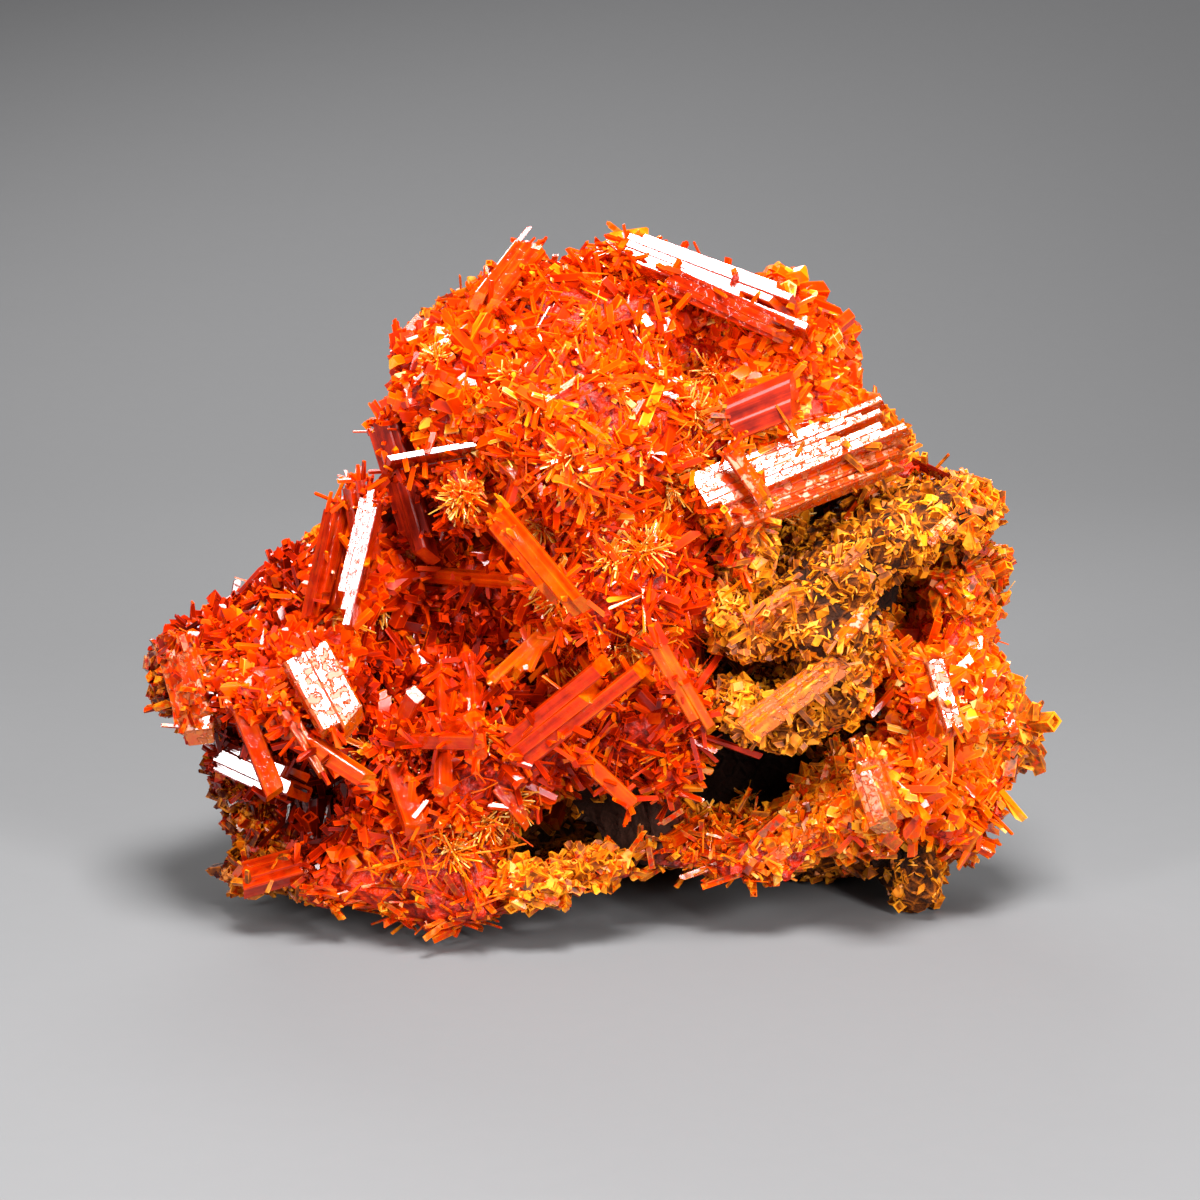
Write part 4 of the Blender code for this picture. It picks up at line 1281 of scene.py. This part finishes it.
# %% Every large crystal
LARGE_CRYSTALS = {
    # node: the laths of its first member, red, stain, finish, and for each member its root, tip,
    # width and thickness in mm, and the way its broad face looks or the softbox that it mirrors
    "top_blade": (5, 0.50, 0.0, BRIGHT, [
        ((2.8, -3.6, 71.5), (20.8, -7.6, 64.9), 3.5, 3.0, "overhead"),
        ((7.4, -6.2, 68.4), (19.2, -9.4, 63.4), 2.6, 2.2, (0.2, -1.0, 0.0)),
    ]),
    "peak_prism": (1, 0.30, 0.1, CLEAR, [
        ((1.8, 3.5, 64.5), (3.4, 2.0, 73.4), 3.2, 2.6, (0.1, -1.0, 0.1)),
    ]),
    "top_left_prism": (3, 0.5, 0.0, BRIGHT, [
        ((-7.6, -2, 71.2), (-11.8, -10, 66.2), 2.6, 2.0, "overhead"),
    ]),
    "striated_blades": (9, 0.45, 0.12, ETCHED, [
        ((10.2, -17.5, 47.4), (30.2, -10.5, 54.6), 4.6, 2.8, "overhead"),
        ((12.6, -18.2, 45.2), (32.2, -9.6, 51.2), 3.9, 2.6, "overhead"),
        ((13.4, -18.2, 52.4), (17.6, -20.6, 46.6), 1.5, 1.3, (0.5, -1.0, -0.3)),
    ]),
    "plum_prism": (2, 0.85, 0.0, DULL, [
        ((13.2, -15.5, 55.0), (21.2, -14.5, 58.0), 3.4, 2.8, (0.3, -1.0, -0.1)),
    ]),
    "dark_prism": (2, 1.3, 0.0, DARK, [
        ((-12.8, -13.6, 51.3), (-21.8, -15.4, 49.9), 4.0, 0.8, (0.24, -0.58, -0.78)),
    ]),
    "shadow_prism": (4, 1.0, 0.0, DULL, [
        ((-22.4, -8, 54.0), (-18, -9.5, 39.5), 3.4, 2.4, (-0.5, -0.9, 0.0)),
    ]),
    "left_blades": (3, 0.55, 0.0, BRIGHT, [
        ((-23.2, -13.8, 47.6), (-26.4, -16.4, 34.4), 2.1, 2.0, "left_front"),
        ((-25.2, -12.4, 48.4), (-23.8, -12.6, 38.0), 2.4, 2.0, (0.6, -0.9, 0.0)),
        ((-26.8, -10.8, 45.6), (-29.2, -13.4, 34.6), 3.0, 2.2, (0.7, -0.8, 0.1)),
    ]),
    "etched_tablet": (2, 0.45, 0.0, ETCHED, [
        ((-30.2, -21.4, 32.2), (-26, -22.4, 24.2), 4.4, 2.2, "overhead"),
    ]),
    "tip_prisms": (2, 0.45, 0.25, ETCHED, [
        ((-43.6, -13, 29.8), (-41.2, -16.6, 22.8), 4.0, 3.0, (-0.5, -0.9, 0.0)),
        ((-40, -15, 28.0), (-41.8, -17.2, 21.0), 2.2, 2.0, "left_front"),
    ]),
    "flash_prism": (3, 1.1, 0.0, DARK, [
        ((-40, -11.4, 18.6), (-31, -15.3, 15.8), 3.2, 3.0, "left_front"),
    ]),
    "leaning_prism": (1, 0.40, 0.0, CLEAR, [
        ((-36.8, -20.6, 26.2), (-32, -21.4, 13.6), 1.6, 1.4, (0.3, -0.9, 0.1)),
    ]),
    "crossed_prisms": (2, 0.45, 0.0, CLEAR, [
        ((-35.4, -19.4, 25.6), (-23.4, -24.4, 19.0), 1.7, 1.5, (0.0, -1.0, -0.2)),
        ((-33.4, -21.2, 28.2), (-28, -22.6, 19.4), 1.3, 1.2, (0.3, -0.9, 0.2)),
    ]),
    "burst_prisms": (1, 0.35, 0.0, CLEAR, [
        ((-21.7, -20.0, 21.6), (-17.4, -26.6, 11.0), 1.8, 1.5, (0.4, -0.9, 0.2)),
        ((-22.2, -20.0, 21.4), (-8.4, -24.6, 27.4), 1.5, 1.3, (0.0, -1.0, 0.0)),
        ((-21.4, -20.6, 22.6), (-11.2, -28.2, 24.4), 1.2, 1.1, (0.0, -1.0, 0.0)),
        ((-21.6, -20.0, 21.6), (-18.4, -24.6, 29.0), 1.4, 1.2, (-0.4, -0.9, 0.2)),
        ((-16.2, -15.5, 29.5), (-15.6, -27.0, 18.4), 1.3, 1.2, (0.6, -1.0, 0.0)),
        ((-13.4, -15.5, 29.0), (-12, -27.6, 19.8), 1.7, 1.4, (-0.5, -1.0, 0.0)),
    ]),
    "middle_prism": (3, 0.50, 0.0, CLEAR, [
        ((-10.2, -19.0, 45.6), (-2.4, -28.0, 38.0), 2.7, 2.3, (0.3, -0.9, -0.2)),
    ]),
    "orange_prism": (2, 0.00, 0.0, CLEAR, [
        ((-4.2, -20.4, 34.8), (-11.2, -21.6, 28.2), 1.8, 1.5, (-0.2, -0.9, 0.3)),
    ]),
    "red_slab": (3, 0.45, 0.0, CLEAR, [
        ((-8.8, -22.6, 21.7), (2.9, -24.8, 31.8), 3.9, 2.8, (0.2, -0.9, 0.3)),
    ]),
    "waist_prism": (2, 0.20, 0.0, CLEAR, [
        ((5.8, -24.6, 33.6), (11.2, -23.8, 23.8), 1.7, 1.4, (0.2, -0.9, 0.1)),
    ]),
    "low_prism": (1, 0.40, 0.0, CLEAR, [
        ((-1.8, -22.6, 21.4), (4.4, -20.4, 14.8), 1.3, 1.2, (0.0, -0.9, 0.3)),
    ]),
    "ochre_blade": (5, 0.20, 0.60, ETCHED, [
        ((14.8, -22.0, 23.8), (25.6, -20.8, 31.6), 4.0, 2.0, "behind"),
    ]),
    "right_lobe_blade": (2, 0.50, 0.1, ETCHED, [
        ((34.4, -18.2, 30.6), (37, -20.0, 21.6), 1.7, 1.5, "right_front"),
    ]),
    "base_block": (3, 0.20, 0.35, ETCHED, [
        ((27.4, -20.5, 20.6), (29.8, -23.4, 13.2), 2.9, 2.6, "left_front"),
    ]),
    "nub_slab": (3, 0.70, 0.15, CLEAR, [
        ((-30.8, -16.8, 8.4), (-37.6, -16.2, 6.2), 3.0, 2.4, (-0.2, -0.7, 0.7)),
    ]),
}
SLOTS = {node: "maroon_crystal" for node in ("dark_prism", "flash_prism", "plum_prism")}
SLOTS["ochre_blade"] = "stained_crystal"
large = [large_crystal(node, *settings, rng) for node, settings in LARGE_CRYSTALS.items()]
print(len(large), "large crystals")

# %% [markdown]
# ## Accent crystals
#
# Between the largest crystals and the sown ones come nearly a hundred of middle size that a visitor
# would notice: white chips that flash, a red fan under the ridge, amber prisms at the waist. Their
# places are given as they are seen from the front, and a line of sight finds the bed behind them.

# %% Every accent crystal
ACCENTS = {
    # piece: finish, red, stain, softbox, and for each crystal its root and its tip as they are seen
    # (across, up, across, up, in mm), its width in mm and the number of its laths
    "white_chips": (BRIGHT, 0.45, 0.0, "overhead", [
        (10.7, 1.7, 14.8, 1.7, 0.5, 1), (4.7, -3.7, 9.3, -3.0, 0.5, 1), (-41.0, -9.0, -42.0, -12.6, 1.0, 1),
        (1.9, 22.4, 3.4, 24.2, 1.5, 1), (4.3, 30.8, 5.6, 29.0, 1.0, 1), (23.3, 24.7, 27.6, 26.9, 1.4, 3),
        (30.2, 18.0, 31.5, 20.3, 1.3, 2), (29.8, 13.2, 26.3, 8.3, 0.4, 1), (-9.5, 30.5, -7.9, 27.5, 0.5, 1),
        (-10.3, 31.2, -9.3, 29.2, 0.6, 1), (10.9, -24.0, 12.8, -23.3, 1.3, 1),
        (16.0, -29.0, 16.5, -27.7, 1.0, 1), (16.5, -29.0, 18.2, -28.6, 0.6, 1),
        (-10.6, -32.1, -10.0, -30.5, 1.0, 1), (-24.0, 11.2, -20.5, 9.1, 1.2, 2),
        (32.2, -23.0, 34.0, -21.7, 1.2, 1), (-13.6, 35.1, -10.6, 37.3, 1.0, 2),
        (-17.2, 1.8, -14.5, 1.9, 0.5, 1), (44.2, -12.6, 45.3, -15.4, 0.9, 1),
        (-4.3, 19.0, -1.3, 18.1, 0.6, 1), (-25.1, -10.8, -26.9, -9.7, 0.6, 1),
        (-27.6, -29.8, -26.2, -27.9, 1.1, 1), (7.4, 22.2, 9.7, 21.4, 0.5, 1),
        (-7.8, 23.0, -6.9, 24.7, 0.6, 1), (1.1, 14.1, 1.7, 16.7, 0.4, 1),
    ]),
    "orange_prisms": (CLEAR, 0.05, 0.0, None, [
        (3.6, -7.3, 6.8, -10.3, 0.9, 1), (3.8, -6.6, -1.9, -7.6, 1.0, 1),
        (-15.7, 34.5, -12.0, 37.1, 1.3, 2), (17.3, 34.2, 17.7, 36.8, 2.6, 3),
        (10.8, 32.5, 12.2, 34.3, 1.7, 2), (39.0, -27.3, 40.7, -23.9, 2.2, 2),
        (40.7, -27.4, 42.3, -24.7, 1.5, 1), (10.8, 8.7, 13.2, 11.9, 1.3, 2),
        (26.6, -28.9, 30.2, -27.8, 1.4, 2), (-1.1, 10.8, -4.3, 14.1, 0.8, 1), (4.3, 4.3, 7.4, 8.7, 0.8, 1),
        (-21.4, 19.5, -20.4, 21.7, 1.2, 1), (-16.0, 20.6, -12.3, 22.5, 1.0, 1),
        (12.1, -4.3, 16.5, -6.5, 1.0, 1), (25.5, -17.3, 26.2, -21.7, 1.5, 1),
        (-8.7, 13.0, -10.8, 15.7, 0.9, 1), (14.6, 10.3, 17.5, 6.5, 0.9, 1), (12.5, 6.0, 16.5, 4.8, 0.6, 1),
        (28.4, 10.8, 32.5, 14.3, 2.2, 4), (-4.3, 27.1, -1.1, 28.4, 0.9, 1),
    ]),
    "red_prisms": (CLEAR, 0.6, 0.0, None, [
        (-19.2, 2.8, -7.9, 1.8, 1.4, 2), (-6.2, -11.7, -0.9, -17.8, 1.1, 1),
        (7.4, -26.2, 12.2, -23.5, 2.2, 3), (-2.4, 36.2, 1.0, 37.8, 1.5, 2),
        (11.9, 31.0, 19.5, 30.4, 2.1, 4), (10.5, -0.9, 16.2, -0.2, 4.5, 7),
        (-47.3, -1.7, -46.5, -6.6, 1.1, 1), (-45.9, -3.0, -41.4, -4.9, 1.7, 2),
        (-38.8, -3.8, -44.0, -7.0, 1.0, 1), (-36.8, -5.1, -39.4, -5.8, 1.0, 1),
        (33.8, -14.5, 34.8, -22.0, 1.3, 2), (36.2, -17.5, 39.2, -23.1, 1.8, 3),
        (37.1, 1.1, 40.7, 4.5, 1.5, 2), (40.3, 5.8, 43.6, 5.1, 1.3, 3), (21.7, 18.8, 29.5, 20.5, 1.6, 5),
        (13.1, -27.2, 13.2, -23.8, 2.1, 2), (-32.5, 4.3, -36.6, 1.6, 1.1, 1),
        (-30.8, 7.6, -33.6, 5.2, 1.0, 1), (-6.5, 34.1, -8.7, 31.4, 1.1, 1),
        (10.8, 37.4, 15.4, 35.1, 1.3, 3), (26.2, 21.9, 29.0, 23.8, 1.3, 2),
        (-13.0, -4.3, -15.7, -1.6, 1.0, 1), (-10.8, -20.6, -7.6, -24.4, 1.3, 2),
        (-4.3, -21.7, -6.0, -26.0, 1.7, 2), (-32.5, -10.8, -36.0, -9.7, 0.9, 1),
        (-41.2, 0.0, -36.6, 0.4, 1.0, 1),
    ]),
    "maroon_prisms": (DARK, 1.15, 0.0, None, [
        (-42.2, -20.6, -36.2, -21.3, 2.6, 3), (-4.8, -27.7, -1.3, -27.6, 1.5, 1),
        (7.4, -10.8, 5.0, -14.1, 1.3, 1), (34.1, 14.9, 41.0, 11.5, 0.9, 3),
        (-21.4, 10.3, -22.5, 7.0, 1.5, 2), (-37.9, -29.0, -32.5, -30.1, 2.2, 2),
        (-29.2, -13.0, -25.3, -15.4, 1.0, 1),
    ]),
    "ochre_prisms": (ETCHED, 0.2, 0.6, None, [
        (8.6, -11.7, 4.5, -18.0, 1.6, 2), (16.5, -2.8, 22.5, 1.1, 2.8, 5), (14.9, -8.7, 23.0, -3.2, 1.5, 3),
        (25.5, 2.7, 29.2, 6.0, 1.5, 2), (35.7, 6.5, 39.0, 9.5, 1.3, 2), (17.9, 5.4, 15.7, 8.7, 1.5, 2),
        (41.2, -4.3, 43.8, -1.1, 1.5, 2), (45.3, -10.8, 48.1, -12.1, 1.5, 2),
    ]),
    "pale_chunks": (ETCHED, 0.1, 0.1, None, [
        (-21.4, 5.8, -18.8, 4.8, 1.8, 2), (-14.1, 19.8, -12.0, 21.2, 1.6, 2),
        (-1.1, 18.4, 0.6, 16.0, 1.3, 1), (-22.1, 21.4, -20.8, 22.7, 1.2, 1),
        (30.3, -9.7, 29.2, -14.1, 1.7, 2), (26.2, -4.3, 29.0, -1.3, 1.3, 2),
        (39.0, 1.1, 40.7, -1.1, 1.5, 2), (22.3, -26.0, 24.9, -24.0, 1.5, 2),
        (18.4, -28.2, 20.6, -26.6, 1.3, 2), (30.3, -4.3, 32.5, -7.4, 1.3, 2),
        (4.3, -27.1, 6.7, -25.8, 1.1, 1),
    ]),
}
ROOT_LIFT, TIP_LIFT = 0.1, 1.5  # mm, towards the camera from the bed
SUNK = 0.5 * MM  # how deep the root is pushed back along the crystal
THIN = 0.75  # thickness of an accent, as a share of its width
TURNS = 0.7  # how far a crystal that must not flash may turn away
STEEPEST = 1.6  # a crystal runs level if its tip would otherwise lie this far, in lengths, in front


def seen_pair(start, end):
    """The two ends of a crystal, from where they are seen."""
    root, tip = seen_at(*start, ROOT_LIFT), seen_at(*end, TIP_LIFT)
    across, up = (Vector(end) - Vector(start)) * MM
    level = root + across * LATERAL + up * UPRIGHT
    return root, level if (tip - level).length > STEEPEST * (level - root).length else tip


def accent(name, finish, red, stain, box, rows, rng):
    """One piece of middle-sized crystals."""
    parts = []
    for *ends, width, laths in rows:
        root, tip = seen_pair(ends[:2], ends[2:])
        along, length = (tip - root).normalized(), (tip - root).length
        root = root - SUNK * along
        made = lath_crystal(name, length, width * MM, THIN * width * MM, laths, rng)
        mark_grain(made, length)
        look = box or (rng.choice((-TURNS, TURNS)), -1, -0.3)
        made.data.transform(facing_matrix(root, along, way_to_look((root + tip) / 2, look)))
        mark_points(made, {"tone": 0.3 + 0.7 * rng.random()})
        parts.append(made)
    return joined_piece(parts, name, finish, {"red": red, "stain": stain})


accents = [accent(name, *settings, rng) for name, settings in ACCENTS.items()]
print(len(accents), "pieces of accent crystals")

# %% [markdown]
# ## Collars
#
# Nothing grew on clean ground: where a large crystal leaves the bed, small ones have climbed onto it.
# Each large crystal gets a collar of them on the part of its surface that is near the bed, and
# hardly any on a face that is meant to flash. The accents get thinner collars, and the chips none.


# %% Small crystals round the roots of large ones
PER_LARGE, PER_ACCENT = 210, 22  # the small crystals that are tried
COLLAR_REACH = 3.0 * MM
COLLAR_LENGTHS, COLLAR_WIDTHS = (0.7, 2.8), (0.3, 1.0)  # mm
COLLAR_MOULDS = 5  # the first moulds of the list
COLLAR_DEPTH = 0.25 * MM
STRAYS = 0.11  # share of the small crystals that grow farther out
NEST_TOP, NEST_TIMES = 0.22, 2.5  # the root's share of the length, and how much thicker it grows there
FLASHES = 0.75  # how nearly a face looks the mirror's way, as a cosine, before it counts as flashing
ON_FLASH = 0.12  # the share of small crystals that may grow there


def collar(made, count, look, rng):
    """Small crystals on a large one: thick at its root, and sparser where it leaves the bed."""
    corners = triangles_of(made)
    rises = np.zeros(len(made.data.vertices))
    made.data.attributes["rise"].data.foreach_get("value", rises)
    rises = np.array([rises[list(part.vertices)].mean() for part in made.data.loop_triangles])
    across = np.cross(corners[:, 1] - corners[:, 0], corners[:, 2] - corners[:, 0])
    weights = np.linalg.norm(across, axis=1) * np.where(rises < NEST_TOP, NEST_TIMES, 1)
    chosen = rng.choice(len(corners), count, p=weights / weights.sum())
    share = rng.dirichlet((1, 1, 1), count)[:, :, None]
    places = (corners[chosen] * share).sum(axis=1)
    normals = unit(across[chosen])
    flashing = normals @ np.array(look.normalized()) > FLASHES if look else np.zeros(count, dtype=bool)
    near = distances(BEDS, places) < COLLAR_REACH * rng.random(count)
    near |= rng.random(count) < STRAYS
    near |= rises[chosen] < NEST_TOP * rng.random(count)
    keep = near & (~flashing | (rng.random(count) < ON_FLASH))
    places, normals = places[keep], normals[keep]
    _, red, stain = read_patches(places, rng)
    axes = along_surface(normals, rng.random((len(places), 1)) ** 1.5, rng)
    moulds = rng.integers(0, COLLAR_MOULDS, len(places))
    roots = places - COLLAR_DEPTH * axes
    return grown(moulds, roots, axes, COLLAR_LENGTHS, COLLAR_WIDTHS, (0, 1), red, stain, rng)


crops = []
for made, (*_, members) in zip(large, LARGE_CRYSTALS.values()):
    root, *_, look = members[0]
    mirror = flash_facing(Vector(root) * MM, look) if isinstance(look, str) else None
    crops.append(collar(made, PER_LARGE * len(members), mirror, rng))
tried = [PER_ACCENT * len(rows) for *_, rows in ACCENTS.values()]
on_chips, *on_others = [collar(made, count, None, rng) for made, count in zip(accents, tried)]
collars = together(crops + on_others)
low_ends = np.minimum(0, collars["axes"][:, 2] * collars["lengths"])
collars = picked(collars, collars["places"][:, 2] + low_ends > FLOOR_ROOM)
cast("collars", collars)
